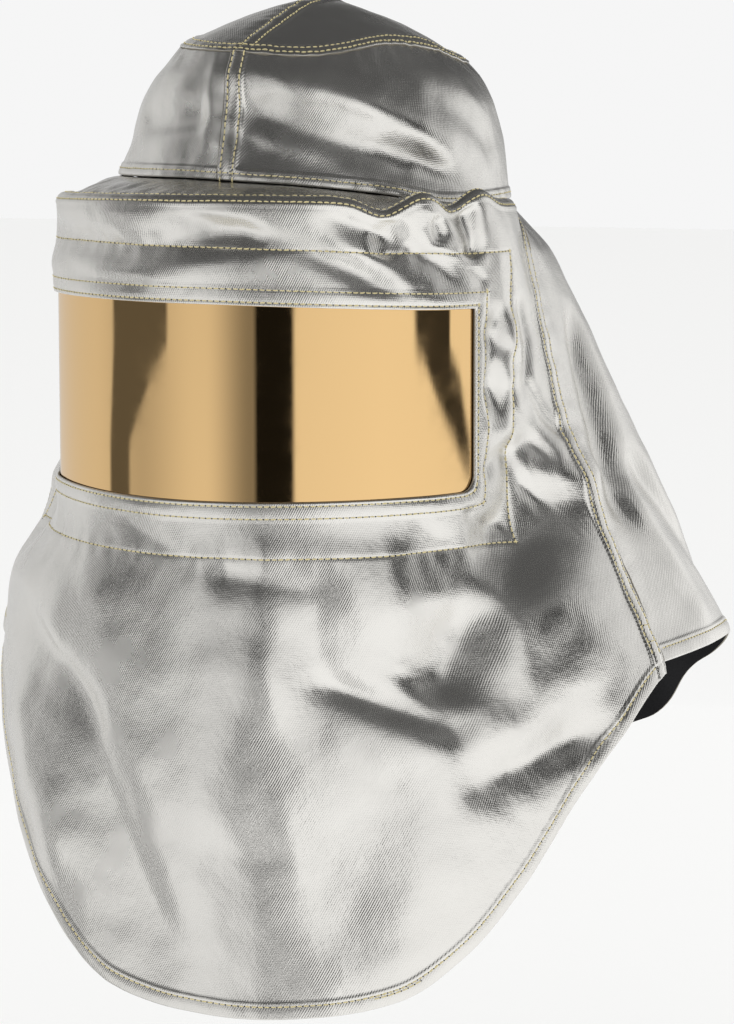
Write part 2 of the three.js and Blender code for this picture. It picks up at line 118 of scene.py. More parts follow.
# bearing, radius, drop
BRIM_EDGE = (
    (0, 192, 125),
    (37, 185, 126),
    (57, 170, 127),
    (67, 161, 129),
    (80, 148, 130),
    (96, 126, 132),
    (110, 121, 134),
)
# bearing, half turn, dip, out
RUFFLES = ((36, 5, 8, -3), (44, 4, -3, 2), (52, 4, 6, -4), (61, 5, -5, 2), (-80, 6, 4, -2))

# Plan radius of the body by bearing (columns) at each drop (rows)
BODY_BEARINGS = (0, 45, 66, 93, 120, 150, 180)
BODY_DROPS = (126, 160, 200, 250, 290, 315, 340, 380, 420, 480, 640)
BODY_RADII = (
    (190, 179, 163, 132, 123, 130, 134),
    (190, 179, 167, 146, 150, 150, 150),
    (190, 179, 167, 157, 171, 170, 165),
    (190, 179, 167, 171, 195, 188, 178),
    (190, 179, 169, 184, 215, 202, 188),
    (192, 184, 184, 194, 227, 210, 194),
    (194, 192, 192, 203, 239, 218, 200),
    (198, 201, 206, 221, 258, 230, 208),
    (202, 205, 209, 239, 275, 238, 212),
    (206, 209, 214, 250, 280, 242, 214),
    (208, 211, 214, 252, 280, 242, 214),
)
EASE = 34.0
# drop, bearing
SIDE_SEAM = ((131, 100), (160, 88), (203, 87), (281, 89), (340, 90), (421, 91))
BIB_TURN = 11.0
BIB_DROP = 620.0
# bearing from the bib's middle, rise
BIB_HEM = ((0, 0), (14, 3), (26, 11), (37, 34), (48, 71), (66, 149), (80, 193), (102, 208))
# bearing, drop
BACK_HEM = ((86, 420), (113, 416), (128, 445), (140, 495), (180, 545))

# Folds: height out of the cloth, width to the left and to the right of the way along them,
# then the bearing and drop of points along them
CROWN_FOLDS = (
    (4.5, 16, 14, ((-4, 56), (30, 60), (52, 80), (84, 118))),
    (-8, 15, 13, ((-8, 62), (16, 82), (40, 101), (84, 121))),
    (-2, 6, 7, ((4, 58), (24, 69), (48, 84))),
    (-4, 8, 10, ((-6, 84), (10, 98), (32, 114))),
    (-3, 9, 11, ((58, 56), (80, 76), (98, 100))),
    (-5, 14, 8, ((-46, 82), (-24, 80), (-6, 72))),
    (-4, 12, 8, ((-48, 106), (-28, 104), (-6, 98))),
    (-5, 14, 14, ((110, 60), (180, 108))),
    (-5, 14, 14, ((-165, 60), (-90, 106))),
)
BODY_FOLDS = (
    (3.5, 17, 17, ((-64, 336), (-28, 415))),
    (-7, 20, 30, ((-58, 362), (-24, 440), (-12, 520), (-2, 616))),
    (6, 24, 24, ((-50, 424), (-24, 556))),
    (-14, 20, 34, ((87, 306), (79, 318), (70, 338), (60, 365), (50, 392), (46, 420), (44, 442))),
    (3, 22, 22, ((88, 380), (50, 462))),
    (-11, 60, 36, ((14, 416), (38, 410), (62, 392))),
    (-5, 10, 10, ((54, 452), (38, 431), (20, 410))),
    (5, 20, 11, ((68, 289), (78, 296), (88, 301), (98, 296))),
    (4, 22, 45, ((6, 336), (26, 340), (44, 344))),
    (-5, 18, 13, ((44, 486), (62, 470), (80, 448))),
    (-3, 12, 16, ((0, 347), (14, 353), (30, 362))),
    (-5, 30, 30, ((40, 452), (24, 590))),
    (5, 34, 34, ((11, 380), (4, 520))),
    (-7, 8, 9, ((55, 126), (58, 164))),
    (-4, 8, 8, ((38, 134), (36, 162))),
    (-5, 6, 6, ((47, 134), (49, 152))),
    (-9, 11, 15, ((106, 190), (102, 270), (96, 350))),
    (4, 16, 16, ((99, 296), (108, 412))),
    (-6, 11, 15, ((105, 280), (115, 350), (126, 424))),
    (-11, 22, 22, ((127, 240), (135, 490))),
    (8, 24, 24, ((158, 210), (164, 550))),
    (-9, 22, 22, ((-176, 240), (-174, 560))),
    (8, 24, 24, ((-148, 220), (-150, 530))),
    (-10, 20, 20, ((-121, 240), (-131, 470))),
    (-7, 16, 16, ((-80, 310), (-68, 430))),
)
# Small sharp creases on top of the folds, laid out in the same way
CREASES = (
    (-2.0, 5, 4, ((47, 444), (37, 430), (24, 414))),
    (-1.2, 8, 6, ((52, 478), (78, 455))),
    (-1.4, 8, 12, ((-50, 372), (-27, 426), (-16, 462))),
    (-1.2, 4, 6, ((2, 347), (26, 359))),
    (-1.8, 5, 7, ((68, 256), (82, 294))),
    (-1.4, 7, 9, ((95, 306), (107, 398))),
    (-1.4, 7, 9, ((104, 216), (96, 308))),
    (1.2, 8, 8, ((16, 470), (20, 540))),
)
# Creases that also cross the stitched surround of the window
FRAME_CREASES = (
    (-4.0, 6, 9, ((66, 186), (62.8, 222), (64.5, 268))),
    (2.4, 6, 6, ((69, 190), (67.5, 256))),
    (-2.6, 5, 6, ((72, 180), (76, 214), (73, 250))),
    (-2.4, 5, 5, ((74, 236), (80, 262), (88, 280))),
    (-2.4, 5, 9, ((56, 200), (64, 212), (74, 236))),
    (-1.6, 5, 8, ((58, 238), (66, 244), (78, 240))),
    (2.2, 18, 10, ((57, 262), (66, 268), (76, 262))),
    (2.2, 18, 10, ((57, 216), (66, 222), (74, 214))),
    (-2.6, 6, 9, ((57, 296), (66, 284), (80, 276))),
    (-1.8, 5, 6, ((66, 268), (72, 300), (80, 322))),
    (-5.0, 8, 10, ((-56, 142), (-16, 155), (16, 142))),
    (2.8, 9, 9, ((-66, 164), (-10, 171), (20, 160))),
    (-5.0, 7, 9, ((-8, 132), (20, 150), (42, 182))),
    (-4.0, 6, 8, ((22, 130), (40, 150), (56, 182))),
    (2.6, 6, 6, ((8, 136), (30, 158), (44, 182))),
    (-2.2, 5, 7, ((-40, 166), (-24, 174), (-6, 178))),
    (-1.6, 4, 6, ((44, 154), (56, 168), (62, 178))),
    (-1.6, 6, 9, ((-20, 312), (-10, 330), (4, 352))),
    (-0.9, 5, 6, ((40, 312), (48, 330), (46, 350))),
    (-2.0, 5, 6, ((54, 314), (60, 326), (70, 330))),
    (-1.4, 5, 7, ((-46, 312), (-40, 336), (-42, 360))),
)

WINDOW_HALF = 57.6
# bearing, top, bottom
WINDOW = ((-120, 189, 304), (-60, 186, 303), (0, 187, 306), (60, 192, 304), (120, 189, 304))
WINDOW_CORNER = 10.0
WINDOW_LIP = 10.0
LIP_STRIP = 11.0
LIP_RISE = 0.7
WINDOW_FRAME = 34.0
WINDOW_LINES = (2.4, 10.0, 34.0)
TEMPLE_RADIUS = 165.0
VISOR_THICKNESS = 1.5
VISOR_SINK = 2.1
VISOR_MARGIN = 9.0
VISOR_MARGIN_TURN = 3.4
VISOR_LEVEL = 247.0

# Random unevenness of the cloth: wavelength, height
CRUMPLE = ((130, 1.6), (66, 1.15), (34, 0.7), (17, 0.28))
CROWN_CRUMPLE = ((80, 1.5), (42, 1.0), (21, 0.42), (11, 0.15))
CRUMPLE_SEEDS = {"top": 11, "band": 27, "brim": 31, "front": 43, "back": 51}
CRUMPLE_LEAN = 0.4
VALLEY_SHARE = 0.3
VALLEY_SEED = 50  # added to the seed of the hills
TOP_CALM = 0.7  # share of the crown's unevenness on its top
RIPPLE_CELLS = 64
RIPPLE_GAIN = 1.5
# Gathers along seams: distance from one to the next, reach, height, seed
GATHERS = {
    "top seam": (9, 13, 0.9, 12),
    "top ring": (8, 12, 0.7, 13),
    "band ring": (9, 12, 0.8, 22),
    "band base": (9, 12, 0.8, 23),
    "band front": (10, 14, 0.5, 24),
    "brim": (9, 24, 1.6, 32),
    "window frame": (12, 9, 0.7, 41),
    "window lip": (10, 6, 0.35, 42),
    "side seam": (11, 15, 0.8, 44),
    "bib hem": (17, 15, 0.6, 45),
    "shoulder": (9, 10, 0.5, 46),
    "back hem": (17, 15, 0.6, 53),
}
GATHER_STRETCH = 3
FOLD_FADE = 0.22  # share of a fold's way over which each end fades
# Distances from an edge over which the cloth becomes free to fold and crumple
RING_FADE = (0, 14)
BASE_FADE = (3, 16)
FRONT_SEAM_FADE = (10, 20)
BRIM_EDGE_FADE = (2, 10)
BRIM_ROOT_FADE = (0, 30)  # in hundredths of the brim's width
FRAME_FADE = (3, 12)
FRONT_TOP_FADE = (0, 11)
BACK_TOP_FADE = (0, 14)
HEM_FADE = (-6, 22)
# Radii that turn bearings into millimetres along the cloth
TOP_RADIUS = 105
CROWN_SEAM_RADIUS = 130
BAND_RADIUS = 125
BRIM_RADIUS = 180
BRIM_FLAT_RADIUS = 160
BODY_RADIUS = 195
BACK_CREASE_RADIUS = 210.0

# Camera: where it looks from, in degrees and metres, and what it looks at
CAMERA_TURN = 23.0
CAMERA_RISE = 7.3
CAMERA_DISTANCE = 2.1
CAMERA_SIDE = 0.0305
CAMERA_AIM_Z = -0.3334
CAMERA_LENS = 74.58
SENSOR_HEIGHT = 24.0
FLOOR_Z = -0.95
FLOOR_SIZE = 40
SKY_STRENGTH = 0.92
# Soft light from above, in degrees
LIGHT_TILT = 20
LIGHT_TURN = 15
LIGHT_WIDTH = 100
LIGHT_STRENGTH = 0.58
SHELL_RADIUS = 2.7
SHELL_Z = -0.25
SHELL_TURNS = 361
# rows of the shell, closer together where the upright visor mirrors it
SHELL_RISES = (np.arange(-89, -10), np.arange(-10, 0, 0.25), np.arange(0, 90))

# What the metal reflects: bright walls that fade upwards into a dark ceiling, with dark gaps
# rise, brightness
WALL_GLOW = (
    (-90, 0.9),
    (-40, 1.0),
    (-20, 0.95),
    (-5, 0.88),
    (10, 0.74),
    (20, 0.56),
    (30, 0.17),
    (45, 0.1),
    (90, 0.09),
)
# turn, how much higher or lower the walls are there, share of their brightness
WALL_TURNS = (
    (-180, -18, 0.9),
    (-140, 10, 0.74),
    (-85, 15, 0.76),
    (-20, -2, 0.9),
    (20, -1, 1.0),
    (60, 6, 1.05),
    (118, 8, 1.0),
    (124, 8, 0.74),
    (134, 6, 0.85),
    (150, 2, 1.3),
    (180, -18, 0.9),
)
# brightness, half width of its soft edges, then rows of rise, from turn, to turn
WALL_GAPS = (
    (0.5, 18, ((-9, -70, -40), (0, -70, -40))),
    (0.12, 1, ((-60, -80, -66), (-6.2, -75, -62), (-4.3, -73, -49), (-3.2, -72, -39), (30, -72, -36))),
    (0.24, 12, ((-60, 3, 7), (-14, 0, 8), (-9, -8, 14), (0, -8, 14))),
    (0.01, 1, ((-60, 10, 17), (-14, 9, 18), (-9, 5, 22), (0, 5, 22), (40, 7, 21))),
    (0.04, 1, ((-7.4, 117, 118), (-6.2, 108, 117), (-4.3, 84, 112), (-3.4, 74, 104), (30, 62, 106))),
)


def linear(code):
    """Linear colour from an sRGB hex code."""
    parts = [int(code[i : i + 2], 16) / 255 for i in (1, 3, 5)]
    return [c / 12.92 if c <= 0.04045 else ((c + 0.055) / 1.055) ** 2.4 for c in parts]


def length(name, description, default):
    return bpy.props.FloatProperty(name=name, description=description, default=default, unit="LENGTH")


def colour(name, description, code):
    return bpy.props.FloatVectorProperty(
        name=name, description=description, default=linear(code), subtype="COLOR"
    )


class HoodSizes(bpy.types.PropertyGroup):
    """Sizes of the cloth and its sewing."""

    cloth: length("Cloth", "Thickness of the coated cloth", 0.0016)
    seam_rise: length("Seam rise", "Height of a lapped edge", 0.0011)
    crumple: bpy.props.FloatProperty(
        name="Crumple", description="Strength of the small creases", default=1.0, subtype="FACTOR"
    )
    twill_pitch: length("Twill pitch", "Distance between twill ribs", 0.0013)
    stitch_pitch: length("Stitch pitch", "Distance between stitches", 0.004)
    stitch_length: length("Stitch length", "Length of a stitch", 0.0034)
    thread_radius: length("Thread radius", "Half the thread's width", 0.0004)


class HoodColours(bpy.types.PropertyGroup):
    """Colours of the hood and of the floor."""

    silver: colour("Silver", "Aluminized face", "#ECEAE5")
    cloth_back: colour("Cloth back", "Black inner face", "#17171A")
    cut_edge: colour("Cut edge", "Fibres at a cut edge", "#8F897C")
    thread: colour("Thread", "Sewing thread", "#D9CC9A")
    gold: colour("Gold", "Coating of the visor", "#F2CB91")
    floor: colour("Floor", "Studio floor", "#F2F2F1")


def sizes():
    return bpy.context.scene.hood_sizes


def colours():
    return bpy.context.scene.hood_colours


def cloth_mm():
    return sizes().cloth / MM


def seam_rise_mm():
    return sizes().seam_rise / MM


def lerp(a, b, t):
    return a + (b - a) * t


def smoothstep(x, low, high):
    t = np.clip((x - low) / (high - low), 0, 1)
    return t * t * (3 - 2 * t)


def wrap(bearing):
    return (np.asarray(bearing, float) + 180) % 360 - 180


def bell(distance):
    return np.exp(-(distance**2))


def along(keys, values, at, flat_ends=False):
    """Smooth curve through values at keys, without overshoot; each point may have its own values."""
    keys = np.asarray(keys, float)
    at = np.asarray(at, float)
    x = np.clip(at, keys[0], keys[-1]).ravel()
    values = np.asarray(values, float).reshape(len(keys), -1)
    secant = np.diff(values, axis=0) / np.diff(keys)[:, None]
    product = secant[:-1] * secant[1:]
    total = np.where(product > 0, secant[:-1] + secant[1:], 1)
    middle = np.where(product > 0, 2 * product / total, 0)
    ends = 0 if flat_ends else 1
    slope = np.concatenate([secant[:1] * ends, middle, secant[-1:] * ends])
    i = np.clip(np.searchsorted(keys, x) - 1, 0, len(keys) - 2)
    j = np.arange(len(x)) if values.shape[1] > 1 else np.zeros(len(x), int)
    span = np.diff(keys)[i]
    t = (x - keys[i]) / span
    eased = lerp(values[i, j], values[i + 1, j], t * t * (3 - 2 * t))
    bow = t * (1 - t) * span * ((1 - t) * slope[i, j] - t * slope[i + 1, j])
    return (eased + bow).reshape(at.shape)


def column(table, index):
    return [row[index] for row in table]


def table_at(table, index, at):
    """Straight lines through a table's rows."""
    return np.interp(at, column(table, 0), column(table, index))


def by_drop(table, index, drop):
    return along(column(table, 0), column(table, index), drop)


def by_bearing(table, index, bearing):
    return along(column(table, 0), column(table, index), wrap(bearing), True)


def by_either_side(table, index, bearing):
    return along(column(table, 0), column(table, index), np.abs(wrap(bearing)), True)


def arc(bearing, radius):
    return np.radians(bearing) * radius


def place(bearing, radius, drop):
    turn = np.radians(bearing)
    height = cloth_mm() - drop
    return np.stack(np.broadcast_arrays(radius * np.sin(turn), -radius * np.cos(turn), height), -1)


def fold_height(folds, bearing, drop, radius):
    """How far folds push cloth of a plan radius out at a place; they fade at both ends."""
    total = np.zeros(np.broadcast(bearing, drop).shape)
    for height, left_width, right_width, points in folds:
        nearest = np.full(total.shape, 1e9)
        push = np.zeros(total.shape)
        for k in range(len(points) - 1):
            from_bearing, from_drop = points[k]
            to_bearing, to_drop = points[k + 1]
            across = arc(wrap(bearing - from_bearing), radius)
            down = drop - from_drop
            run_across = arc(to_bearing - from_bearing, radius)
            run_down = to_drop - from_drop
            share = (across * run_across + down * run_down) / (run_across**2 + run_down**2)
            held = np.clip(share, 0, 1)
            away = np.hypot(across - held * run_across, down - held * run_down)
            rightward = run_across * down - run_down * across > 0
            passed = (k + held) / (len(points) - 1)
            fade = smoothstep(passed, 0, FOLD_FADE) * (1 - smoothstep(passed, 1 - FOLD_FADE, 1))
            here = fade * bell(away / np.where(rightward, right_width, left_width))
            push = np.where(away < nearest, here, push)
            nearest = np.minimum(nearest, away)
        total = total + height * push
    return total


def ripple(x, y, seed):
    """Smooth random heights of about -1 to 1 with one hill to a unit, the same on every run."""
    turns = np.random.default_rng(seed).uniform(0, 2 * np.pi, (RIPPLE_CELLS, RIPPLE_CELLS))
    i = np.floor(x).astype(int)
    j = np.floor(y).astype(int)
    u = x - i
    v = y - j

    def corner(a, b):
        turn = turns[(i + a) % RIPPLE_CELLS, (j + b) % RIPPLE_CELLS]
        return np.cos(turn) * (u - a) + np.sin(turn) * (v - b)

    ease_u = u**3 * (u * (u * 6 - 15) + 10)
    ease_v = v**3 * (v * (v * 6 - 15) + 10)
    near = lerp(corner(0, 0), corner(1, 0), ease_u)
    far = lerp(corner(0, 1), corner(1, 1), ease_u)
    return RIPPLE_GAIN * lerp(near, far, ease_v)


def crumple(x, y, table, part):
    """Random unevenness of the cloth: soft hills with a few sharp valleys."""
    total = 0
    for seed, (size, height) in enumerate(table, CRUMPLE_SEEDS[part]):
        lean_x = (x + CRUMPLE_LEAN * y) / size
        lean_y = (y - CRUMPLE_LEAN * x) / size
        valleys = np.abs(ripple(lean_y, lean_x, seed + VALLEY_SEED))
        total = total + height * (ripple(lean_x, lean_y, seed) - VALLEY_SHARE * valleys)
    return total * sizes().crumple


def gathers(position, away, seam):
    """Short gathers square to a seam, fading with the distance from it."""
    pitch, reach, height, seed = GATHERS[seam]
    return height * ripple(position / pitch, away / (GATHER_STRETCH * pitch), seed) * bell(away / reach)


def groove(away, lines):
    return -GROOVE_DEPTH * sum(bell((away - line) / GROOVE_WIDTH) for line in lines)


def rolled(away):
    """Rounds the outer face down to a turned edge."""
    inward = np.clip(1 - away / ROLL, 0, 1)
    return -ROLL * (1 - np.sqrt(1 - inward**2))


def strip(away, width, rise):
    """Height of a lapped or turned strip along an edge."""
    bulge = STRIP_BULGE * np.sin(np.pi * np.clip(away / width, 0, 1))
    fall = smoothstep(away, width + STRIP_FALL[0], width + STRIP_FALL[1])
    return rise * (1 - fall) * (1 + bulge)


def normals(surface, first, second, turn=0.35, down=1.2):
    turned = surface(first + turn, second) - surface(first - turn, second)
    lowered = surface(first, second + down) - surface(first, second - down)
    out = np.cross(lowered, turned)
    return out / np.linalg.norm(out, axis=-1, keepdims=True)


def raised(surface, first, second, height):
    return surface(first, second) + normals(surface, first, second) * np.asarray(height)[..., None]


# Crown: the top is read at millimetres left and forwards, the band at a bearing and a level,
# where 100 is the ring seam and 200 the lower edge.


def crown_radius(bearing, drop):
    turn = np.radians(bearing - CROWN_TURN)
    across = np.sin(turn) / by_drop(CROWN_OVALS, 1, drop)
    ahead = np.cos(turn) / by_drop(CROWN_OVALS, 2, drop)
    at, half_turn, from_drop, to_drop, out = CROWN_FLARE
    flare = out * bell(wrap(bearing - at) / half_turn) * smoothstep(drop, from_drop, to_drop)
    return 1 / np.hypot(across, ahead) + flare


def crown_base(bearing):
    drop = by_bearing(CROWN_BASE, 1, bearing)
    return crown_radius(bearing, drop), drop


def dome_point(left, forward):
    bearing = np.degrees(np.arctan2(left, forward)) + CROWN_TURN
    ring = by_bearing(RING_SEAM, 1, bearing)
    reach = np.hypot(left, forward)
    share = reach / crown_radius(bearing, ring)
    return place(bearing, reach, ring * share**DOME_POWER)


def dome_edge(bearing):
    return crown_radius(bearing, by_bearing(RING_SEAM, 1, bearing))


def band_point(bearing, level):
    ring = by_bearing(RING_SEAM, 1, bearing)
    share = level / 100 - 1
    drop = lerp(ring, crown_base(bearing)[1], share)
    radius = crown_radius(bearing, drop)
    slack = 4 * np.clip(share, 0, 1) * np.clip(1 - share, 0, 1)
    return place(bearing, radius + slack * fold_height(CROWN_FOLDS, bearing, drop, radius), drop)


def brim_edge(bearing):
    out = by_either_side(BRIM_EDGE, 1, bearing)
    drop = by_either_side(BRIM_EDGE, 2, bearing)
    for at, half_turn, dip, push in RUFFLES:
        share = bell((bearing - at) / half_turn)
        out = out + push * share
        drop = drop + dip * share
    lift = smoothstep(np.abs(bearing), BRIM_END - 3 * BRIM_FADE, BRIM_END - BRIM_FADE)
    return out, lerp(drop, np.minimum(drop, crown_base(bearing)[1] + BRIM_SEAT), lift)


def behind_brim(bearing):
    """0 in front of the brim's ends, 1 behind them."""
    return smoothstep(np.abs(bearing), BRIM_END - BRIM_FADE, BRIM_END)


def shoulder(bearing):
    """Rounding radius of the front panel's upper edge, none behind the brim."""
    width = brim_edge(bearing)[0] - crown_base(bearing)[0] + BASE_TUCK
    return np.minimum(SHOULDER, 0.5 * width) * (1 - behind_brim(bearing))


def brim_point(bearing, reach):
    base_radius, base_drop = crown_base(bearing)
    edge_radius, edge_drop = brim_edge(bearing)
    edge_radius = edge_radius - BRIM_TUCK / SHOULDER * shoulder(bearing)
    share = reach / 100
    drop = lerp(base_drop + BASE_GAP, edge_drop, np.maximum(0, share) ** BRIM_BOW)
    radius = lerp(base_radius - BASE_TUCK, edge_radius, share)
    return place(bearing, radius, drop)


def body_top(bearing):
    edge_radius, edge_drop = brim_edge(bearing)
    base_radius, base_drop = crown_base(bearing)
    behind = behind_brim(bearing)
    radius = lerp(edge_radius, base_radius - BASE_TUCK, behind)
    drop = lerp(edge_drop - cloth_mm() - BRIM_GAP, base_drop + BASE_GAP, behind)
    return radius, drop


def shoulder_inset(bearing, drop):
    """How far the rounded shoulder draws the panel in, and the way along it from its upper edge."""
    size = np.maximum(shoulder(bearing), 0.01)
    below = drop - body_top(bearing)[1]
    tilt = np.clip(1 - below / size, 0, 1)
    inset = size * (1 - np.sqrt(1 - tilt**2))
    return inset, size * np.arccos(tilt) + np.maximum(0, below - size)


def body_section(bearing, drop):
    bearing, drop = np.broadcast_arrays(bearing, drop)
    radii = [along(BODY_DROPS, column(BODY_RADII, k), drop).ravel() for k in range(len(BODY_BEARINGS))]
    return along(BODY_BEARINGS, radii, np.abs(wrap(bearing)), True)


def window_at(bearing):
    return by_bearing(WINDOW, 1, bearing), by_bearing(WINDOW, 2, bearing)


def window_distance(bearing, drop):
    """Distances outside the window's edge, beside it and above or below it."""
    top, bottom = window_at(bearing)
    beside = np.maximum(0, arc(np.abs(wrap(bearing)) - WINDOW_HALF, TEMPLE_RADIUS))
    above = np.maximum(0, np.maximum(top - drop, drop - bottom))
    return beside, above


def freedom(bearing, drop):
    """0 on the stitched surround of the window and at the top edge, 1 where the cloth can fold."""
    away = np.hypot(*window_distance(bearing, drop))
    below = drop - body_top(bearing)[1]
    return smoothstep(away, WINDOW_LIP, WINDOW_FRAME) * smoothstep(below, *FRONT_TOP_FADE)


def body_point(turned, drop):
    bearing = wrap(turned)
    top_radius, top_drop = body_top(bearing)
    radius = body_section(bearing, drop)
    snug = 1 - smoothstep(np.hypot(*window_distance(bearing, drop)), WINDOW_LIP, 2 * WINDOW_FRAME)
    radius = lerp(radius, np.minimum(radius, body_section(bearing, VISOR_LEVEL)), snug)
    ease = 1 - smoothstep(drop - top_drop, 0, EASE)
    to_edge = ease * (top_radius - body_section(bearing, top_drop))
    fold = freedom(bearing, drop) * fold_height(BODY_FOLDS, bearing, drop, radius)
    return place(bearing, radius + to_edge + fold - shoulder_inset(bearing, drop)[0], drop)


def visor_point(bearing, drop):
    return place(bearing, body_section(bearing, VISOR_LEVEL), drop)


def seam_bearing(drop):
    return by_drop(SIDE_SEAM, 1, drop)


def seam_turn(drop):
    """Degrees of bearing to a millimetre along the cloth at the side seam."""
    return np.degrees(1 / body_section(seam_bearing(drop), drop))


def bib_hem(bearing):
    return BIB_DROP - by_either_side(BIB_HEM, 1, bearing - BIB_TURN)


def back_hem(bearing):
    return by_either_side(BACK_HEM, 1, bearing)


def hem_fall(hem, bearing):
    """Millimetres down the panel to a millimetre square to its hem."""
    step = 1.0
    climb = (hem(bearing + step) - hem(bearing - step)) / (2 * step)
    return np.hypot(1, np.degrees(climb) / body_section(bearing, hem(bearing)))


# Cloth relief: small wrinkles that both faces of the cloth follow, and the rise of its outer face.


def top_relief(left, forward):
    bearing = np.degrees(np.arctan2(left, forward)) + CROWN_TURN
    rim = dome_edge(bearing) - np.hypot(left, forward)
    seam = np.abs(left)
    wrinkle = TOP_CALM * crumple(left, forward, CROWN_CRUMPLE, "top") * smoothstep(rim, *RING_FADE)
    wrinkle = wrinkle + gathers(forward, seam, "top seam")
    wrinkle = wrinkle + gathers(arc(bearing, TOP_RADIUS), rim, "top ring")
    lapped = np.where(left >= 0, strip(seam, SEAM_WIDTH, seam_rise_mm()) + rolled(seam), 0)
    rise = np.maximum(lapped, strip(rim, SEAM_WIDTH, seam_rise_mm())) + rolled(rim)
    rise = rise + groove(rim, RING_LINES) + np.where(left >= 0, groove(seam, TOP_LINES), 0)
    return wrinkle, rise


def band_relief(bearing, level):
    ring = by_bearing(RING_SEAM, 1, bearing)
    height = crown_base(bearing)[1] - ring
    head = (level / 100 - 1) * height
    foot = height - head
    turn = wrap(bearing - CROWN_TURN)
    front = arc(np.abs(turn), CROWN_SEAM_RADIUS)
    side = np.minimum(front, arc(180 - np.abs(turn), CROWN_SEAM_RADIUS))
    across = arc(bearing, BAND_RADIUS)
    free = smoothstep(head, *RING_FADE) * smoothstep(foot, *BASE_FADE)
    free = free * smoothstep(front, *FRONT_SEAM_FADE)
    wrinkle = free * crumple(across, head, CROWN_CRUMPLE, "band")
    wrinkle = wrinkle + gathers(across, head, "band ring") + gathers(across, foot, "band base")
    wrinkle = wrinkle + gathers(head, front, "band front")
    lapped = np.where(turn >= 0, strip(side, SEAM_WIDTH, seam_rise_mm()) + rolled(side), 0)
    rise = np.maximum(lapped, strip(foot, BASE_STRIP, BASE_RISE * seam_rise_mm())) + rolled(foot)
    rise = rise + np.where(turn >= 0, groove(side, SEAM_LINES), 0) + groove(foot, (BASE_LINE,))
    return wrinkle, rise


def brim_distance(bearing, reach):
    """Distance inside the brim's outer edge."""
    tucked = BRIM_TUCK / SHOULDER * shoulder(bearing)
    width = brim_edge(bearing)[0] - tucked - crown_base(bearing)[0] + BASE_TUCK
    return (1 - reach / 100) * width


def brim_relief(bearing, reach):
    away = brim_distance(bearing, reach)
    across = arc(bearing, BRIM_RADIUS)
    wrinkle = crumple(across, away, CROWN_CRUMPLE, "brim") + gathers(across, away, "brim")
    free = smoothstep(away, *BRIM_EDGE_FADE) * smoothstep(reach, *BRIM_ROOT_FADE)
    return wrinkle * free, np.zeros(away.shape)


def seam_distance(bearing, drop):
    """Distance in front of the nearer side seam."""
    return (seam_bearing(drop) - np.abs(bearing)) / seam_turn(drop)


def hem_distance(hem, bearing, drop):
    return (hem(bearing) - drop) / hem_fall(hem, bearing)


def front_wrinkles(bearing, drop):
    radius = body_section(bearing, drop)
    across = arc(bearing, BODY_RADIUS)
    window = np.hypot(*window_distance(bearing, drop))
    hung = fold_height(CREASES, wrap(bearing), drop, radius) + crumple(across, drop, CRUMPLE, "front")
    sewn = fold_height(FRAME_CREASES, wrap(bearing), drop, radius) * smoothstep(window, *FRAME_FADE)
    sewn = sewn + gathers(across, np.abs(window - WINDOW_FRAME), "window frame")
    sewn = sewn + gathers(across + drop, np.abs(window - WINDOW_LIP), "window lip")
    return freedom(bearing, drop) * hung + sewn


def front_relief(bearing, drop):
    side = seam_distance(bearing, drop) - SIDE_GAP / 2
    hem = hem_distance(bib_hem, bearing, drop)
    window = np.maximum(*window_distance(bearing, drop))
    head = shoulder_inset(bearing, drop)[1]
    across = arc(bearing, BODY_RADIUS)
    wrinkle = front_wrinkles(bearing, drop) * smoothstep(hem, *HEM_FADE)
    wrinkle = wrinkle + gathers(drop, side, "side seam") + gathers(across, hem, "bib hem")
    wrinkle = wrinkle + gathers(across, head, "shoulder")
    strips = (
        strip(side, SEAM_WIDTH, seam_rise_mm()),
        strip(hem, HEM_WIDTH, HEM_RISE),
        strip(window, LIP_STRIP, LIP_RISE),
        strip(head, SHOULDER_STRIP, seam_rise_mm()),
    )
    rise = np.max(strips, axis=0) + rolled(np.min((side, hem, window, head), axis=0))
    rise = rise + groove(side, SEAM_LINES) + groove(hem, (HEM_LINE,))
    rise = rise + groove(window, WINDOW_LINES) + groove(head, SHOULDER_LINES)
    return wrinkle, rise


def back_relief(turned, drop):
    bearing = wrap(turned)
    side = -seam_distance(bearing, drop) - SIDE_GAP / 2
    hem = hem_distance(back_hem, bearing, drop)
    across = arc(turned, BODY_RADIUS)
    free = smoothstep(drop - body_top(bearing)[1], *BACK_TOP_FADE) * smoothstep(hem, *HEM_FADE)
    creases = fold_height(CREASES, bearing, drop, BACK_CREASE_RADIUS)
    wrinkle = free * (creases + crumple(across, drop, CRUMPLE, "back"))
    wrinkle = wrinkle + gathers(drop, side, "side seam") + gathers(across, hem, "back hem")
    rise = strip(hem, HEM_WIDTH, HEM_RISE) + rolled(hem) + groove(hem, (HEM_LINE,))
    return wrinkle, rise


# Grids: fine along the edges and stitch lines, wider on the open cloth.

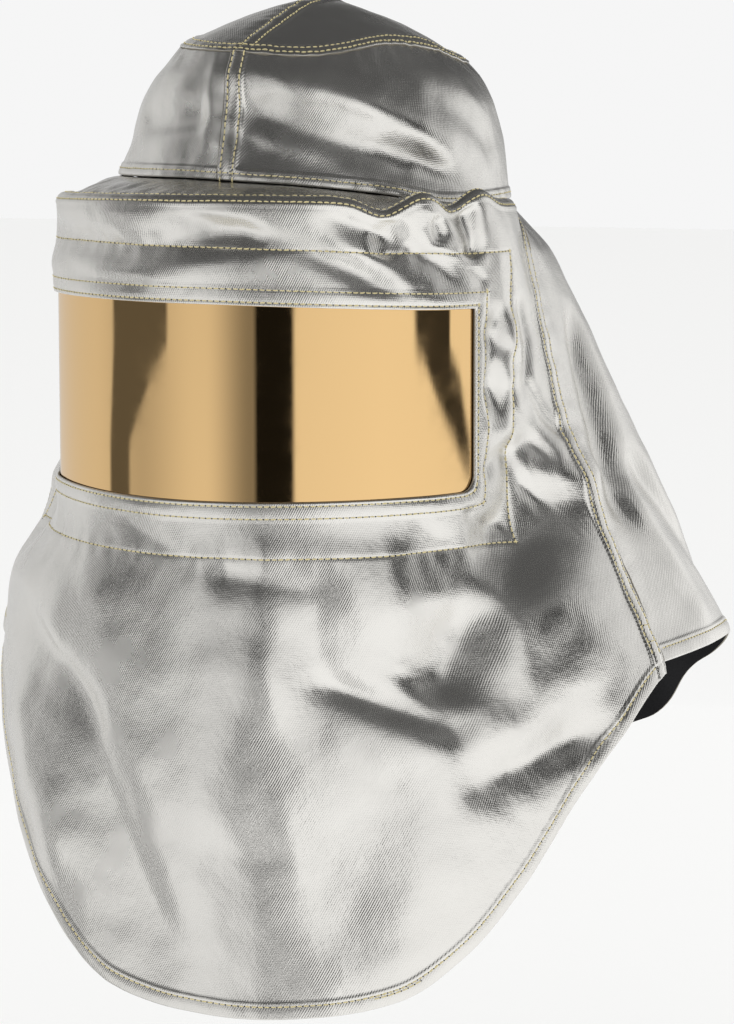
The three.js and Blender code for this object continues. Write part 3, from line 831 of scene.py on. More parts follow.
EDGE_STEPS = (
    *(0, 0.3, 0.7, 1.2, 1.8, 2.4, 3.1, 4.2, 6, 7.6, 8.2),
    *(8.9, 9.6, 10.2, 10.9, 11.8, 12.6, 13.6, 15),
)
LIP_STEPS = (0, 0.3, 0.7, 1.2, 1.8, 2.4, 3.1, 4.4, 6, 7.8, 9.1, 10, 10.9, 12, 13.6)
FRAME_STEPS = (16.5, 19.5, 22.5, 25.5, 28.5, 31, 32.6, 33.4, 34, 34.6, 35.4, 37)
BAND_HEAD_STEPS = (0.2, 0.7, 1.4, 2.4, 3.6, 5)
FRONT_WINDOW_COLUMNS = 58
FRONT_CHEEK_COLUMNS = 24
FRONT_TOP_SHARES = (
    *(0, 0.003, 0.008, 0.016, 0.027, 0.041, 0.058, 0.078, 0.1, 0.125, 0.153, 0.185, 0.22),
    *(0.26, 0.305, 0.355, 0.41, 0.48, 0.56, 0.65, 0.74, 0.83, 0.92),
)
FRONT_WINDOW_ROWS = 38
FRONT_BIB_ROWS = 80
BACK_COLUMNS = 92
BACK_TOP_SHARES = (0, 0.002, 0.006, 0.012, 0.02, 0.03)
BACK_ROWS = 118
TOP_COLUMNS = 22
TOP_ROWS = 70
BAND_COLUMNS = 120
BAND_ROWS = 26
BRIM_COLUMNS = 300
BRIM_ROWS = 16
BRIM_FULL = 44.0  # width of brim from which the edge's steps are whole
VISOR_COLUMNS = 140
VISOR_ROWS = 24
BAND_STEP = 1.05  # hundredths of the band's height to a millimetre
BAND_FLAT = 0.95  # millimetres of flat cloth to a hundredth
SETTLE_ROUNDS = 8


def shares(count):
    """Shares from just above 0 to just below 1, in equal steps."""
    return np.arange(1, count) / count


def between(start, end, count):
    """Fine steps at both ends with equal steps between them."""
    return np.concatenate([start, lerp(start[-1], end[0], shares(count)), end])


def window_corner(bearing, drop):
    """Rounds the window's lower corners, and the stitching round them."""
    side = np.sign(bearing)
    bottom = window_at(bearing)[1]
    per_degree = math.radians(1) * TEMPLE_RADIUS
    u = ((np.abs(bearing) - WINDOW_HALF) * per_degree + WINDOW_CORNER) / WINDOW_CORNER
    v = (drop - bottom + WINDOW_CORNER) / WINDOW_CORNER
    u = np.maximum(u, 0)
    v = np.maximum(v, 0)
    reach = np.maximum(np.maximum(u, v), 1e-9)
    on_u = u / np.maximum(reach, 1)
    on_v = v / np.maximum(reach, 1)
    fade = 1 - smoothstep(reach, 1, 4)
    move_u = (on_u * np.sqrt(1 - on_v**2 / 2) - on_u) * fade * WINDOW_CORNER
    move_v = (on_v * np.sqrt(1 - on_u**2 / 2) - on_v) * fade * WINDOW_CORNER
    return bearing + side * move_u / per_degree, drop + move_v


def settle(bearings_at, drops_at):
    """Grid whose columns lean with the drop and whose rows lean with the bearing."""
    drop = np.full((1, 1), VISOR_LEVEL)
    for _ in range(SETTLE_ROUNDS):
        bearing = bearings_at(drop)
        drop = drops_at(bearing)
    return bearings_at(drop), drop


def stacked(rows):
    """The i-th line of the i-th array, where an array of one line serves for all."""
    return np.stack([row[min(i, len(row) - 1)] for i, row in enumerate(rows)])


def mirrored(half):
    return np.concatenate([half[:0:-1], half])


def front_bearings(drop):
    """Bearings of the front panel's columns, from one side seam to the other."""
    window = np.arange(FRONT_WINDOW_COLUMNS) / FRONT_WINDOW_COLUMNS * WINDOW_HALF
    beside = WINDOW_HALF + np.degrees(np.array(LIP_STEPS + FRAME_STEPS) / TEMPLE_RADIUS)
    cheek = shares(FRONT_CHEEK_COLUMNS)
    edge = np.array(EDGE_STEPS[::-1])
    fixed = np.concatenate([window, beside, np.full(len(cheek) + len(edge), beside[-1])])
    share = np.concatenate([np.zeros(len(window) + len(beside)), cheek, np.ones(len(edge))])
    step = np.concatenate([np.full(len(fixed) - len(edge), edge[0]), edge])
    seam = seam_bearing(drop) - (SIDE_GAP / 2 + mirrored(step)) * seam_turn(drop)
    side = np.concatenate([-np.ones(len(fixed) - 1), np.ones(len(fixed))])
    return side * lerp(mirrored(fixed), seam, mirrored(share))


def down_to_hem(start, steps, hem, bearing):
    """Drops of rows from a start down to a hem, close together along the hem."""
    edge = hem(bearing)
    fall = hem_fall(hem, bearing)
    rows = [lerp(start, edge - EDGE_STEPS[-1] * fall, t) for t in steps]
    return rows + [edge - step * fall for step in EDGE_STEPS[::-1]]


def front_drops(bearing):
    """Drops of the front panel's rows: brow, surround of the window, bib and hem."""
    top, bottom = window_at(bearing)
    edge = body_top(bearing)[1]
    around = LIP_STEPS + FRAME_STEPS
    rows = [lerp(edge, top - around[-1], t) for t in FRONT_TOP_SHARES]
    rows += [top - step for step in around[::-1]]
    rows += [lerp(top, bottom, t) for t in shares(FRONT_WINDOW_ROWS)]
    rows += [bottom + step for step in around]
    rows += down_to_hem(bottom + around[-1], shares(FRONT_BIB_ROWS), bib_hem, bearing)
    return stacked(rows)


def back_bearings(drop):
    """Bearings of the back panel's columns, from the wearer's left to the middle behind."""
    seam = seam_bearing(drop)
    per_mm = seam_turn(drop)
    columns = [seam + (SIDE_GAP / 2 + step) * per_mm for step in EDGE_STEPS]
    columns += [lerp(columns[-1], 180.0, t) for t in np.append(shares(BACK_COLUMNS), 1)]
    return stacked([each.T for each in columns]).T


def back_drops(bearing):
    top = body_top(wrap(bearing))[1]
    steps = (*BACK_TOP_SHARES, *lerp(BACK_TOP_SHARES[-1], 1, shares(BACK_ROWS)))
    return stacked(down_to_hem(top, steps, back_hem, bearing))


def back_grid():
    """The left half of the grid, joined behind to the right half."""
    left = settle(back_bearings, back_drops)
    right = settle(lambda drop: 360 - back_bearings(drop), back_drops)
    return tuple(np.concatenate([a, b[:, -2::-1]], axis=1) for a, b in zip(left, right))


def top_grid(side):
    """Half of the crown's top: a square grid drawn out to the oval of the ring seam."""
    half_width, half_length = CROWN_OVALS[0][1:]
    edge = np.array(EDGE_STEPS)
    across = between(edge / half_width, 1 - edge[::-1] / half_width, TOP_COLUMNS)
    tip = 1 - edge / half_length
    forward = between(tip, -tip[::-1], TOP_ROWS)
    a, f = np.meshgrid(across if side > 0 else across[::-1], forward[::-1])
    x = a * np.sqrt(1 - f**2 / 2)
    y = f * np.sqrt(1 - a**2 / 2)
    turn = np.arctan2(x * half_width, y * half_length)
    reach = np.hypot(x, y) * (dome_edge(side * np.degrees(turn) + CROWN_TURN) - RING_GAP)
    return side * np.maximum(reach * np.sin(turn), SIDE_GAP / 2), reach * np.cos(turn)


def band_grid(side):
    """Half of the crown's band, from its front seam to its back seam."""
    edge = np.array(EDGE_STEPS)
    seam = np.degrees((edge + SIDE_GAP / 2) / CROWN_SEAM_RADIUS)
    turns = between(seam, 180 - seam[::-1], BAND_COLUMNS)
    head = np.array(BAND_HEAD_STEPS) * BAND_STEP
    levels = 100 + between(head, 100 - edge[::-1] * BAND_STEP, BAND_ROWS)
    return np.meshgrid(CROWN_TURN + (turns if side > 0 else -turns[::-1]), levels)


def brim_grid():
    bearing = np.linspace(-1, 1, BRIM_COLUMNS) * (BRIM_END - BRIM_FADE + 1)
    width = brim_distance(bearing, 0)
    scale = np.minimum(1, width / BRIM_FULL)
    edge = 100 * (1 - np.array(EDGE_STEPS[::-1])[:, None] * scale / width)
    inside = lerp(0, edge[:1], np.arange(BRIM_ROWS)[:, None] / BRIM_ROWS)
    reach = np.concatenate([inside, edge])
    return np.broadcast_to(bearing, reach.shape), reach


def visor_grid():
    half = WINDOW_HALF + VISOR_MARGIN_TURN
    bearing = np.linspace(-half, half, VISOR_COLUMNS)
    top, bottom = window_at(bearing)
    share = np.linspace(0, 1, VISOR_ROWS)[:, None]
    return np.broadcast_arrays(bearing, lerp(top - VISOR_MARGIN, bottom + VISOR_MARGIN, share))


def grid_corners(rows, columns):
    """First point of each square of a grid."""
    return np.arange(rows - 1)[:, None] * columns + np.arange(columns - 1)


def wall_faces(shape, hole):
    """Faces of a wall between two layers of a grid: outer face, inner face, and the rim round them."""
    columns = shape[1]
    count = shape[0] * columns
    corner = grid_corners(*shape)[~hole]
    outer = np.stack([corner, corner + columns, corner + columns + 1, corner + 1], axis=1)
    inner = outer[:, ::-1] + count
    start = outer.ravel()
    end = np.roll(outer, -1, axis=1).ravel()
    forward = start * count + end
    backward = end * count + start
    open_edge = ~np.isin(forward, backward)
    a = start[open_edge]
    b = end[open_edge]
    rim = np.stack([a, a + count, b + count, b], axis=1)
    return outer, inner, rim


def linked(name, data):
    """A new object in the scene."""
    added = bpy.data.objects.new(name, data)
    bpy.context.scene.collection.objects.link(added)
    return added


def wall_object(name, outer, inner, flat, materials, hole=None):
    """Closed mesh of a sheet from its two layers and the place of each point on the flat cloth."""
    shape = outer.shape[:2]
    hole = np.zeros((shape[0] - 1, shape[1] - 1), bool) if hole is None else hole
    layers = wall_faces(shape, hole)
    used, faces = np.unique(np.concatenate(layers), return_inverse=True)
    faces = faces.reshape(-1, 4)
    points = np.concatenate([outer.reshape(-1, 3), inner.reshape(-1, 3)])[used] * MM
    spread = np.concatenate([flat.reshape(-1, 2)] * 2)[used] * MM
    mesh = bpy.data.meshes.new(name)
    mesh.from_pydata(points.tolist(), [], faces.tolist())
    mesh.polygons.foreach_set("material_index", np.repeat([0, 1, 2], [len(part) for part in layers]))
    mesh.polygons.foreach_set("use_smooth", np.ones(len(faces), bool))
    uv = mesh.uv_layers.new(name="cloth")
    uv.data.foreach_set("uv", spread[faces.ravel()].ravel())
    mesh.update()
    for material in materials:
        mesh.materials.append(material)
    return linked(name, mesh)


def cloth_piece(name, replaced, surface, relief, grid, flat, bent=None, hole=None):
    """A sheet of coated cloth in place of a node, with its wrinkles, raised edges and two faces."""
    wrinkle, rise = relief(*grid)
    at = bent or grid
    outer = raised(surface, *at, wrinkle + rise)
    inner = raised(surface, *at, wrinkle - cloth_mm())
    materials = (aluminized_twill(), black_cloth_back(), cut_fibre_edge())
    piece = wall_object(name, outer, inner, flat, materials, hole)
    settle_piece(piece, CLOTH_SLOT, replaced)
    return piece


def settle_piece(piece, slot, *nodes):
    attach(piece, BODY_NAME)
    if nodes:
        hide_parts(*nodes)


# Materials

TWILL_SLANT = 28
WAVE_BAND = 0.314  # a wave texture has a band every so many units at scale 1


def node(tree, kind, values=None, links=None, **settings):
    """Adds a node with its settings, its fixed input values and its incoming links."""
    added = tree.nodes.new(kind)
    for key, value in settings.items():
        setattr(added, key, value)
    for key, value in (values or {}).items():
        added.inputs[key].default_value = value
    for key, socket in (links or {}).items():
        tree.links.new(socket, added.inputs[key])
    return added


def surface_material(name, tint, roughness=0.5, metallic=0.0):
    """A named material with its tree and shader, or without these if it exists already."""
    known = bpy.data.materials.get(name)
    if known:
        return known, None, None
    material = bpy.data.materials.new(name)
    material.use_nodes = True
    tree = material.node_tree
    tree.nodes.clear()
    values = {"Base Color": (*tint, 1), "Roughness": roughness, "Metallic": metallic}
    shader = node(tree, "ShaderNodeBsdfPrincipled", values)
    node(tree, "ShaderNodeOutputMaterial", links={"Surface": shader.outputs["BSDF"]})
    return material, tree, shader


def cloth_place(tree):
    return node(tree, "ShaderNodeUVMap", uv_map="cloth").outputs["UV"]


def object_place(tree):
    return node(tree, "ShaderNodeTexCoord").outputs["Object"]


def noise(tree, vector, scale, detail, roughness=0.5):
    values = {"Scale": scale, "Detail": detail, "Roughness": roughness}
    return node(tree, "ShaderNodeTexNoise", values, {"Vector": vector}).outputs["Fac"]


def ribs(tree, vector, direction, pitch, distortion, detail_scale):
    """Bands at a pitch, slightly uneven."""
    scale = WAVE_BAND / pitch
    values = {"Scale": scale, "Distortion": distortion, "Detail": 1.0, "Detail Scale": detail_scale}
    wave = node(tree, "ShaderNodeTexWave", values, {"Vector": vector}, bands_direction=direction)
    return wave.outputs["Fac"]


def mapped(tree, value, start, end):
    """Carries one range of values over to another."""
    values = dict(zip(("From Min", "From Max", "To Min", "To Max"), (*start, *end)))
    return node(tree, "ShaderNodeMapRange", values, {"Value": value}).outputs["Result"]


def bumped(tree, height, strength, distance, normal=None):
    links = {"Height": height} if normal is None else {"Height": height, "Normal": normal}
    bump = node(tree, "ShaderNodeBump", {"Strength": strength, "Distance": distance}, links)
    return bump.outputs["Normal"]


def aluminized_twill():
    """Satin metal film on twill: broad soft reflections, broken up by fine slanting ribs and dents."""
    material, tree, shader = surface_material("aluminized_aramid_cloth", colours().silver, metallic=1.0)
    if tree is None:
        return material
    pitch = sizes().twill_pitch
    uv = cloth_place(tree)
    at = object_place(tree)
    slant = {"Rotation": (0, 0, math.radians(TWILL_SLANT))}
    slanted = node(tree, "ShaderNodeMapping", slant, {"Vector": uv}).outputs["Vector"]
    warp = ribs(tree, slanted, "X", pitch, distortion=1.0, detail_scale=0.5)
    weft = ribs(tree, uv, "Y", 0.8 * pitch, distortion=2.5, detail_scale=0.8)
    dents = noise(tree, at, scale=170.0, detail=3.0, roughness=0.6)
    wear = noise(tree, at, scale=26.0, detail=4.0, roughness=0.6)
    dented = bumped(tree, dents, strength=0.24, distance=0.001)
    crossed = bumped(tree, weft, strength=0.14, distance=0.0002, normal=dented)
    ribbed = bumped(tree, warp, strength=0.25, distance=0.00025, normal=crossed)
    sheen = mapped(tree, wear, (0.3, 0.7), (0.2, 0.3))
    tree.links.new(sheen, shader.inputs["Roughness"])
    tree.links.new(ribbed, shader.inputs["Normal"])
    return material


def black_cloth_back():
    """Black fibre cloth on the inside: nearly lightless, with a faint woven grain; also used for the
    dots of painted shade in the stitches' needle holes.
    """
    material, tree, shader = surface_material("black_aramid_cloth", colours().cloth_back, roughness=0.85)
    if tree:
        grain = noise(tree, cloth_place(tree), scale=900.0, detail=2.0)
        rough = bumped(tree, grain, strength=0.4, distance=0.0004)
        tree.links.new(rough, shader.inputs["Normal"])
    return material


def cut_fibre_edge():
    """Pale cut fibres along the edges of the cloth, seen as a thin matt line."""
    return surface_material("cut_aramid_fibre", colours().cut_edge, roughness=0.8)[0]


def aramid_thread():
    """Natural yellowish thread, matt, with a fine uneven grain."""
    material, tree, shader = surface_material("spun_aramid_thread", colours().thread, roughness=0.6)
    if tree:
        grain = noise(tree, object_place(tree), scale=2200.0, detail=1.0)
        rough = bumped(tree, grain, strength=0.5, distance=0.0002)
        tree.links.new(rough, shader.inputs["Normal"])
    return material


def gold_film_lens():
    """Gold film on a clear lens: a warm mirror, slightly hazy in places."""
    material, tree, shader = surface_material("gold_coated_polycarbonate", colours().gold, metallic=1.0)
    if tree:
        clouds = noise(tree, object_place(tree), scale=60.0, detail=4.0, roughness=0.6)
        haze = mapped(tree, clouds, (0.3, 0.75), (0.03, 0.09))
        tree.links.new(haze, shader.inputs["Roughness"])
    return material


# Stitching

STITCH_INPUTS = (
    ("Lines", "NodeSocketGeometry"),
    ("Pitch", "NodeSocketFloat"),
    ("Length", "NodeSocketFloat"),
    ("Thread radius", "NodeSocketFloat"),
    ("Seed", "NodeSocketInt"),
    ("Thread", "NodeSocketMaterial"),
    # material of the flat dark dots of painted shade at the needle holes
    ("Hole shade", "NodeSocketMaterial"),
)
STITCH_SWAY = 0.12  # most that a stitch turns out of its line, in radians
STITCH_SIZES = (0.9, 1.1)
STITCH_SINK = -1.2  # ends and middle of a stitch, in radii of the thread
STITCH_CREST = 1.7
# Flat dark dots of the black back cloth at the needle holes: painted shade inside each hole
HOLE_SHADE_SIZE = 1.25  # in radii of the thread
HOLE_SHADE_FLATNESS = 0.45


def stitch_tree():
    """Nodes that lay one bent stitch after another along sewing lines, with a flat dark dot of painted
    shade at each needle hole between the stitches.
    """
    known = bpy.data.node_groups.get("thread_stitches")
    if known:
        return known
    tree = bpy.data.node_groups.new("thread_stitches", "GeometryNodeTree")
    for name, kind in STITCH_INPUTS:
        tree.interface.new_socket(name, in_out="INPUT", socket_type=kind)
    tree.interface.new_socket("Stitches", in_out="OUTPUT", socket_type="NodeSocketGeometry")
    given = node(tree, "NodeGroupInput").outputs
    radius = given["Thread radius"]

    def made(*inputs, **settings):
        return node(tree, *inputs, **settings).outputs[0]

    def times(socket, factor):
        return made("ShaderNodeMath", {1: factor}, {0: socket}, operation="MULTIPLY")

    def spot(**links):
        return made("ShaderNodeCombineXYZ", None, links)

    def chance(low, high):
        seed = {"Seed": given["Seed"]}
        drawn = node(tree, "FunctionNodeRandomValue", {2: low, 3: high}, seed, data_type="FLOAT")
        return drawn.outputs[1]

    def on_points(instance, material, **links):
        links.update(Points=points, Instance=instance)
        laid = made("GeometryNodeInstanceOnPoints", None, links)
        return made("GeometryNodeSetMaterial", None, {"Geometry": laid, "Material": given[material]})

    lines = made("GeometryNodeMeshToCurve", None, {"Mesh": given["Lines"]})
    spaced = {"Curve": lines, "Length": given["Pitch"]}
    points = made("GeometryNodeResampleCurve", None, spaced, mode="LENGTH")
    out = node(tree, "GeometryNodeInputNamedAttribute", {"Name": "out"}, data_type="FLOAT_VECTOR")
    tangent = {"Vector": made("GeometryNodeInputTangent")}
    ahead = made("FunctionNodeAlignRotationToVector", None, tangent, axis="X")
    outward = {"Rotation": ahead, "Vector": out.outputs["Attribute"]}
    upright = made("FunctionNodeAlignRotationToVector", None, outward, axis="Z", pivot_axis="X")
    sway = {"Angle": chance(-STITCH_SWAY, STITCH_SWAY)}
    turn = made("FunctionNodeAxisAngleToRotation", {"Axis": (0, 0, 1)}, sway)
    turned = {"Rotation": upright, "Rotate By": turn}
    swayed = made("FunctionNodeRotateRotation", None, turned, rotation_space="LOCAL")
    sunk = times(radius, STITCH_SINK)
    bow = {
        "Start": spot(X=times(given["Length"], -0.5), Z=sunk),
        "Middle": spot(Z=times(radius, STITCH_CREST)),
        "End": spot(X=times(given["Length"], 0.5), Z=sunk),
    }
    bent = made("GeometryNodeCurveQuadraticBezier", {"Resolution": 4}, bow)
    section = made("GeometryNodeCurvePrimitiveCircle", {"Resolution": 5}, {"Radius": radius})
    swept = {"Curve": bent, "Profile Curve": section}
    stitch = made("GeometryNodeCurveToMesh", {"Fill Caps": True}, swept)
    threads = on_points(stitch, "Thread", Rotation=swayed, Scale=chance(*STITCH_SIZES))
    # Flat dark dot at each needle hole, between two stitches: painted shade of the hole, made of the
    # black back cloth
    wide = {"Radius": times(radius, HOLE_SHADE_SIZE)}
    shade_dot = made("GeometryNodeMeshUVSphere", {"Segments": 6, "Rings": 4}, wide)
    moved = {"Geometry": shade_dot, "Translation": spot(X=times(given["Pitch"], 0.5))}
    hole = made("GeometryNodeTransform", {"Scale": (1, 1, HOLE_SHADE_FLATNESS)}, moved)
    both = node(tree, "GeometryNodeJoinGeometry")
    for part in (on_points(hole, "Hole shade", Rotation=upright), threads):
        tree.links.new(part, both.inputs["Geometry"])
    real = made("GeometryNodeRealizeInstances", None, {"Geometry": both.outputs["Geometry"]})
    node(tree, "NodeGroupOutput", links={"Stitches": real})
    return tree


def sewing_line(surface, relief, first, second, bend):
    """Points of a stitch line on a dressed surface, with the way out of the cloth at each."""
    grid = np.broadcast_arrays(np.asarray(first, float), np.asarray(second, float))
    height = sum(relief(*grid)) + THREAD_LIFT
    at = bend(*grid) if bend else grid
    return raised(surface, *at, height) * MM, normals(surface, *at)


def stitching(name, surface, relief, ways, seed, bend=None):
    """One mesh of thread along several sewing lines on a dressed surface."""
    lines = [sewing_line(surface, relief, first, second, bend) for first, second in ways]
    points = np.concatenate([line[0] for line in lines])
    out = np.concatenate([line[1] for line in lines])
    ends = np.cumsum([len(line[0]) for line in lines])
    edges = [(i, i + 1) for i in range(len(points) - 1) if i + 1 not in ends]
    mesh = bpy.data.meshes.new(name + "_lines")
    mesh.from_pydata(points.tolist(), edges, [])
    mesh.attributes.new("out", "FLOAT_VECTOR", "POINT").data.foreach_set("vector", out.ravel())
    carrier = linked(name + "_lines", mesh)
    modifier = carrier.modifiers.new("stitches", "NODES")
    tree = stitch_tree()
    modifier.node_group = tree
    values = {
        "Pitch": sizes().stitch_pitch,
        "Length": sizes().stitch_length,
        "Thread radius": sizes().thread_radius,
        "Seed": seed,
        "Thread": aramid_thread(),
        # the black back cloth serves as the painted shade in the needle holes
        "Hole shade": black_cloth_back(),
    }
    for item in tree.interface.items_tree:
        if item.in_out == "INPUT" and item.name in values:
            modifier[item.identifier] = values[item.name]
    ready = carrier.evaluated_get(bpy.context.evaluated_depsgraph_get())
    thread = linked(name, bpy.data.meshes.new_from_object(ready))
    bpy.data.objects.remove(carrier)
    thread.data.polygons.foreach_set("use_smooth", np.ones(len(thread.data.polygons), bool))
    settle_piece(thread, CLOTH_SLOT)


def cloth_flat(first, second):
    """Where a place on the body lies on the flat cloth, in millimetres."""
    return np.stack(np.broadcast_arrays(arc(first, BODY_RADIUS), -second), -1)


class HOOD_OT_crown_top(bpy.types.Operator):
    """Makes the two halves of the crown's top."""

    bl_idname = "hood.crown_top"
    bl_label = "Crown top"

    def execute(self, context):
        for side, name in ((1, "left"), (-1, "right")):
            grid = top_grid(side)
            flat = np.stack(grid, -1)
            piece = cloth_piece(
                f"hood_crown_top_{name}", f"crown_top_{name}", dome_point, top_relief, grid, flat
            )
        ways = []
        turns = np.linspace(-180, 180, 400)
        for inset in RING_LINES:
            reach = dome_edge(turns + CROWN_TURN) - inset
            ways.append((reach * np.sin(np.radians(turns)), reach * np.cos(np.radians(turns))))
        for inset in TOP_LINES:
            forward = np.linspace(-1, 1, 160) * (CROWN_OVALS[0][2] - RING_LINES[1] + 2)
            ways.append((inset, forward))
        stitching("thread_crown_top", dome_point, top_relief, ways, seed=1)
        return {"FINISHED"}


class HOOD_OT_crown_band(bpy.types.Operator):
    """Makes the two halves of the crown's band."""

    bl_idname = "hood.crown_band"
    bl_label = "Crown band"

    def execute(self, context):
        for side, name in ((1, "left"), (-1, "right")):
            grid = band_grid(side)
            flat = np.stack([arc(grid[0], BAND_RADIUS), -grid[1] * BAND_FLAT], -1)
            piece = cloth_piece(
                f"hood_crown_band_{name}", f"crown_side_{name}", band_point, band_relief, grid, flat
            )
        turns = np.linspace(-180, 180, 500) + CROWN_TURN
        height = crown_base(turns)[1] - by_bearing(RING_SEAM, 1, turns)
        ways = [(turns, 200 - 100 * BASE_LINE / height)]
        levels = np.linspace(101, 199, 60)
        for inset in SEAM_LINES:
            turn = math.degrees(inset / CROWN_SEAM_RADIUS)
            ways += [(CROWN_TURN + turn, levels), (CROWN_TURN + 180 - turn, levels)]
        stitching("thread_crown_band", band_point, band_relief, ways, seed=2)
        return {"FINISHED"}


class HOOD_OT_brim(bpy.types.Operator):
    """Makes the brim in front of the crown."""

    bl_idname = "hood.brim"
    bl_label = "Brim"

    def execute(self, context):
        bearing, reach = brim_grid()
        flat = np.stack([arc(bearing, BRIM_FLAT_RADIUS), -brim_distance(bearing, reach)], -1)
        piece = cloth_piece("hood_brim", "brim", brim_point, brim_relief, (bearing, reach), flat)
        return {"FINISHED"}


class HOOD_OT_front_panel(bpy.types.Operator):
    """Makes the front panel with its window, side seams and rounded bib."""

    bl_idname = "hood.front_panel"
    bl_label = "Front panel"

    def execute(self, context):
        grid = settle(front_bearings, front_drops)
        rows, columns = grid[0].shape
        first_row = len(FRONT_TOP_SHARES + LIP_STEPS + FRAME_STEPS) - 1
        middle = columns // 2
        hole = np.zeros((rows - 1, columns - 1), bool)
        window = slice(middle - FRONT_WINDOW_COLUMNS, middle + FRONT_WINDOW_COLUMNS)
        hole[first_row : first_row + FRONT_WINDOW_ROWS, window] = True
        bent = window_corner(*grid)
        flat = cloth_flat(*bent)
        piece = cloth_piece(
            "hood_front_panel", "front_panel", body_point, front_relief, grid, flat, bent, hole
        )
        ways = front_ways()
        stitching("thread_front_panel", body_point, front_relief, ways, seed=4, bend=window_corner)
        return {"FINISHED"}


def front_ways():
    """Sewing lines of the front panel: seams, shoulder, hem, tacks, and three rows round the window."""
    ways = []
    drops = np.linspace(*SEAM_DROPS, 260)
    for inset in SEAM_LINES:
        seam = seam_bearing(drops) - (SIDE_GAP / 2 + inset) * seam_turn(drops)
        ways += [(-seam, drops), (seam, drops)]
    turns = np.linspace(-1, 1, 500) * (BRIM_END - 2 * BRIM_FADE)
    size = shoulder(turns)
    for inset in SHOULDER_LINES:
        bent = np.minimum(inset / size, 0.5 * np.pi)
        below = size * (1 - np.cos(bent)) + np.maximum(0, inset - 0.5 * np.pi * size)
        ways.append((turns, body_top(turns)[1] + below))
    whole_hem = np.linspace(-BIB_HEM_TURN, BIB_HEM_TURN, 700)
    for turns, inset in ((whole_hem, HEM_LINE), (np.linspace(*HEM_TACK, 60), HEM_LINE - TACK_STEP)):
        ways.append((turns, bib_hem(turns) - inset * hem_fall(bib_hem, turns)))
    across = np.linspace(*SEAM_LINES, 12) + SIDE_GAP / 2
    for drop in TACK_DROPS:
        tack = seam_bearing(drop) - across * seam_turn(drop)
        ways += [(-tack, drop), (tack, drop)]
    for inset in WINDOW_LINES:
        half = WINDOW_HALF + math.degrees(inset / TEMPLE_RADIUS)
        turns = np.linspace(-half, half, 500)
        top, bottom = window_at(turns)
        upright = np.linspace(top[-1] - inset, bottom[-1] + inset, 160)
        ways += [(turns, top - inset), (turns, bottom + inset), (-half, upright), (half, upright)]
    return ways


class HOOD_OT_back_panel(bpy.types.Operator):
    """Makes the back panel that hangs over the shoulders."""

    bl_idname = "hood.back_panel"
    bl_label = "Back panel"

    def execute(self, context):
        grid = back_grid()
        flat = cloth_flat(*grid)
        piece = cloth_piece("hood_back_panel", "back_panel", body_point, back_relief, grid, flat)
        turns = np.linspace(*BACK_HEM_TURNS, 700)
        hem = back_hem(turns) - HEM_LINE * hem_fall(back_hem, turns)
        stitching("thread_back_panel", body_point, back_relief, [(turns, hem)], seed=5)
        return {"FINISHED"}


class HOOD_OT_visor(bpy.types.Operator):
    """Makes the gold visor behind the window."""

    bl_idname = "hood.visor"
    bl_label = "Visor"

    def execute(self, context):
        grid = visor_grid()
        outer = raised(visor_point, *grid, -VISOR_SINK)
        inner = raised(visor_point, *grid, -VISOR_SINK - VISOR_THICKNESS)
        piece = wall_object("hood_visor", outer, inner, cloth_flat(*grid), [gold_film_lens()] * 3)
        settle_piece(piece, LENS_SLOT, "visor")
        return {"FINISHED"}


def shell_glow(turn, rise):
    """Brightness of the surroundings that the metal reflects."""
    lift = table_at(WALL_TURNS, 1, turn)
    glow = table_at(WALL_TURNS, 2, turn) * table_at(WALL_GLOW, 1, rise - lift)
    for dark, soft, rows in WALL_GAPS:
        start = table_at(rows, 1, rise)
        end = table_at(rows, 2, rise)
        begun = smoothstep(turn, start - soft, start + soft)
        ended = smoothstep(turn, end - soft, end + soft)
        within = begun * (1 - ended) * (rise >= rows[0][0]) * (rise <= rows[-1][0])
        glow = lerp(glow, np.minimum(glow, dark), within)
    return glow


def studio_shell():
    """A round shell of bright walls and dark gaps that shows only in reflections."""
    turn, rise = np.meshgrid(np.linspace(-180, 180, SHELL_TURNS), np.concatenate(SHELL_RISES))
    a = np.radians(turn)
    e = np.radians(rise)
    points = np.stack([np.sin(a) * np.cos(e), -np.cos(a) * np.cos(e), np.sin(e)], -1).reshape(-1, 3)
    corner = grid_corners(*turn.shape).ravel()
    above = corner + SHELL_TURNS
    faces = np.stack([corner, corner + 1, above + 1, above], axis=1)
    mesh = bpy.data.meshes.new("studio_shell")
    mesh.from_pydata((points * SHELL_RADIUS + (0, 0, SHELL_Z)).tolist(), [], faces.tolist())
    brightness = mesh.attributes.new("glow", "FLOAT", "POINT")
    brightness.data.foreach_set("value", shell_glow(turn, rise).ravel())
    material = bpy.data.materials.new("studio_shell")
    material.use_nodes = True
    material.cycles.emission_sampling = "NONE"
    tree = material.node_tree
    tree.nodes.clear()
    glow = node(tree, "ShaderNodeAttribute", attribute_name="glow")
    shine = node(tree, "ShaderNodeEmission", links={"Strength": glow.outputs["Fac"]})
    node(tree, "ShaderNodeOutputMaterial", links={"Surface": shine.outputs["Emission"]})
    mesh.materials.append(material)
    shell = linked("studio_shell", mesh)
    for kind in ("camera", "diffuse", "transmission", "volume_scatter", "shadow"):
        setattr(shell, "visible_" + kind, False)


def soft_light():
    """A wide soft light from above, which the metal doesn't reflect."""
    light = bpy.data.lights.new("light_above", "SUN")
    light.angle = math.radians(LIGHT_WIDTH)
    light.energy = LIGHT_STRENGTH
    lamp = linked("light_above", light)
    lamp.rotation_euler = (math.radians(LIGHT_TILT), 0, math.radians(LIGHT_TURN))
    lamp.visible_glossy = False


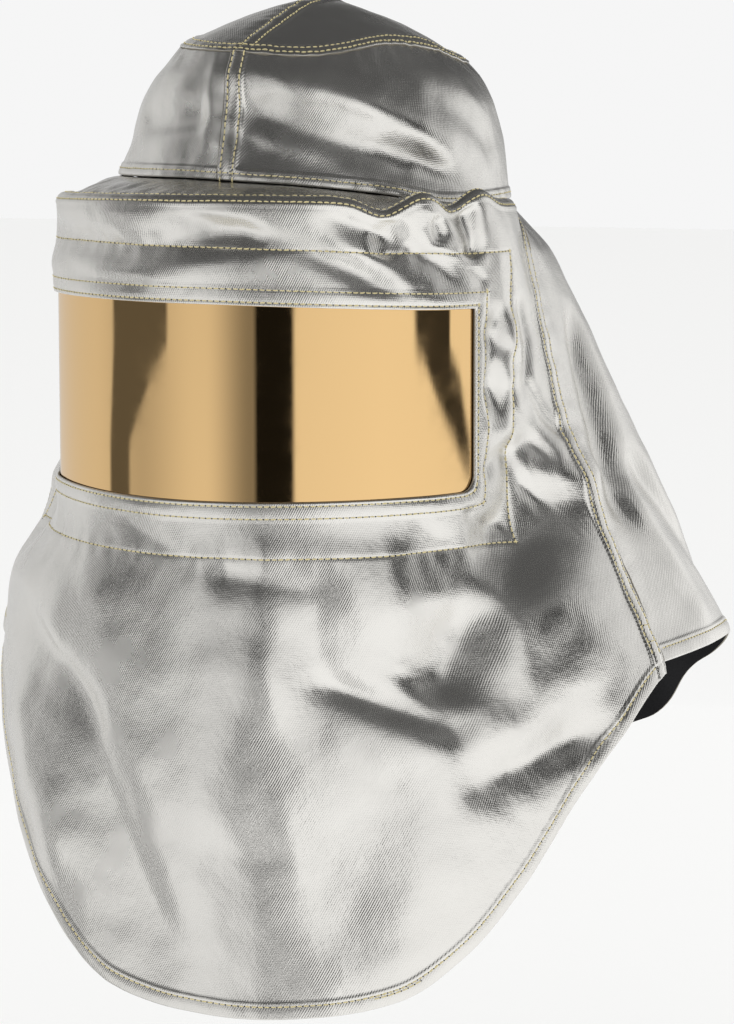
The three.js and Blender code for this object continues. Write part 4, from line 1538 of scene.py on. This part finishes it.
class HOOD_OT_stage(bpy.types.Operator):
    """Makes the floor, the light, the reflecting shell and the camera."""

    bl_idname = "hood.stage"
    bl_label = "Stage"

    def execute(self, context):
        scene = context.scene
        bpy.ops.mesh.primitive_plane_add(size=FLOOR_SIZE, location=(0, 0, FLOOR_Z))
        floor = context.active_object
        floor.name = "studio_floor"
        material = surface_material("studio_floor", colours().floor, roughness=0.9)[0]
        floor.data.materials.append(material)
        floor.visible_glossy = False
        world = bpy.data.worlds.new("studio_air")
        world.use_nodes = True
        scene.world = world
        sky = world.node_tree.nodes["Background"]
        sky.inputs["Color"].default_value = (1, 1, 1, 1)
        sky.inputs["Strength"].default_value = SKY_STRENGTH
        world.cycles_visibility.glossy = False
        scene.view_settings.view_transform = "Standard"
        studio_shell()
        soft_light()
        studio_camera(scene)
        return {"FINISHED"}


def studio_camera(scene):
    a = math.radians(CAMERA_TURN)
    e = math.radians(CAMERA_RISE)
    data = bpy.data.cameras.new("studio_camera")
    data.sensor_fit = "VERTICAL"
    data.sensor_height = SENSOR_HEIGHT
    data.lens = CAMERA_LENS
    data.clip_end = 100
    camera = linked("studio_camera", data)
    camera.location = (
        CAMERA_SIDE * math.cos(a) + CAMERA_DISTANCE * math.sin(a) * math.cos(e),
        CAMERA_SIDE * math.sin(a) - CAMERA_DISTANCE * math.cos(a) * math.cos(e),
        CAMERA_AIM_Z + CAMERA_DISTANCE * math.sin(e),
    )
    camera.rotation_euler = (math.radians(90) - e, 0, a)
    scene.camera = camera


class HOOD_PT_sidebar(bpy.types.Panel):
    """Lists the hood's pieces, sizes and colours."""

    bl_idname = "HOOD_PT_sidebar"
    bl_label = "Aluminized hood"
    bl_space_type = "VIEW_3D"
    bl_region_type = "UI"
    bl_category = "Hood"

    def draw(self, context):
        for operator in OPERATORS:
            self.layout.operator(operator.bl_idname)
        for group in (context.scene.hood_sizes, context.scene.hood_colours):
            for name in group.__annotations__:
                self.layout.prop(group, name)


OPERATORS = (
    HOOD_OT_crown_top,
    HOOD_OT_crown_band,
    HOOD_OT_brim,
    HOOD_OT_front_panel,
    HOOD_OT_back_panel,
    HOOD_OT_visor,
    HOOD_OT_stage,
)
CLASSES = (HoodSizes, HoodColours, *OPERATORS, HOOD_PT_sidebar)


def register():
    for cls in CLASSES:
        bpy.utils.register_class(cls)
    bpy.types.Scene.hood_sizes = bpy.props.PointerProperty(type=HoodSizes)
    bpy.types.Scene.hood_colours = bpy.props.PointerProperty(type=HoodColours)


def unregister():
    del bpy.types.Scene.hood_sizes
    del bpy.types.Scene.hood_colours
    for cls in reversed(CLASSES):
        bpy.utils.unregister_class(cls)


def main():
    register()
    bpy.ops.hood.crown_top()
    bpy.ops.hood.crown_band()
    bpy.ops.hood.brim()
    bpy.ops.hood.front_panel()
    bpy.ops.hood.back_panel()
    bpy.ops.hood.visor()
    bpy.ops.hood.stage()


if __name__ == "__main__":
    main()
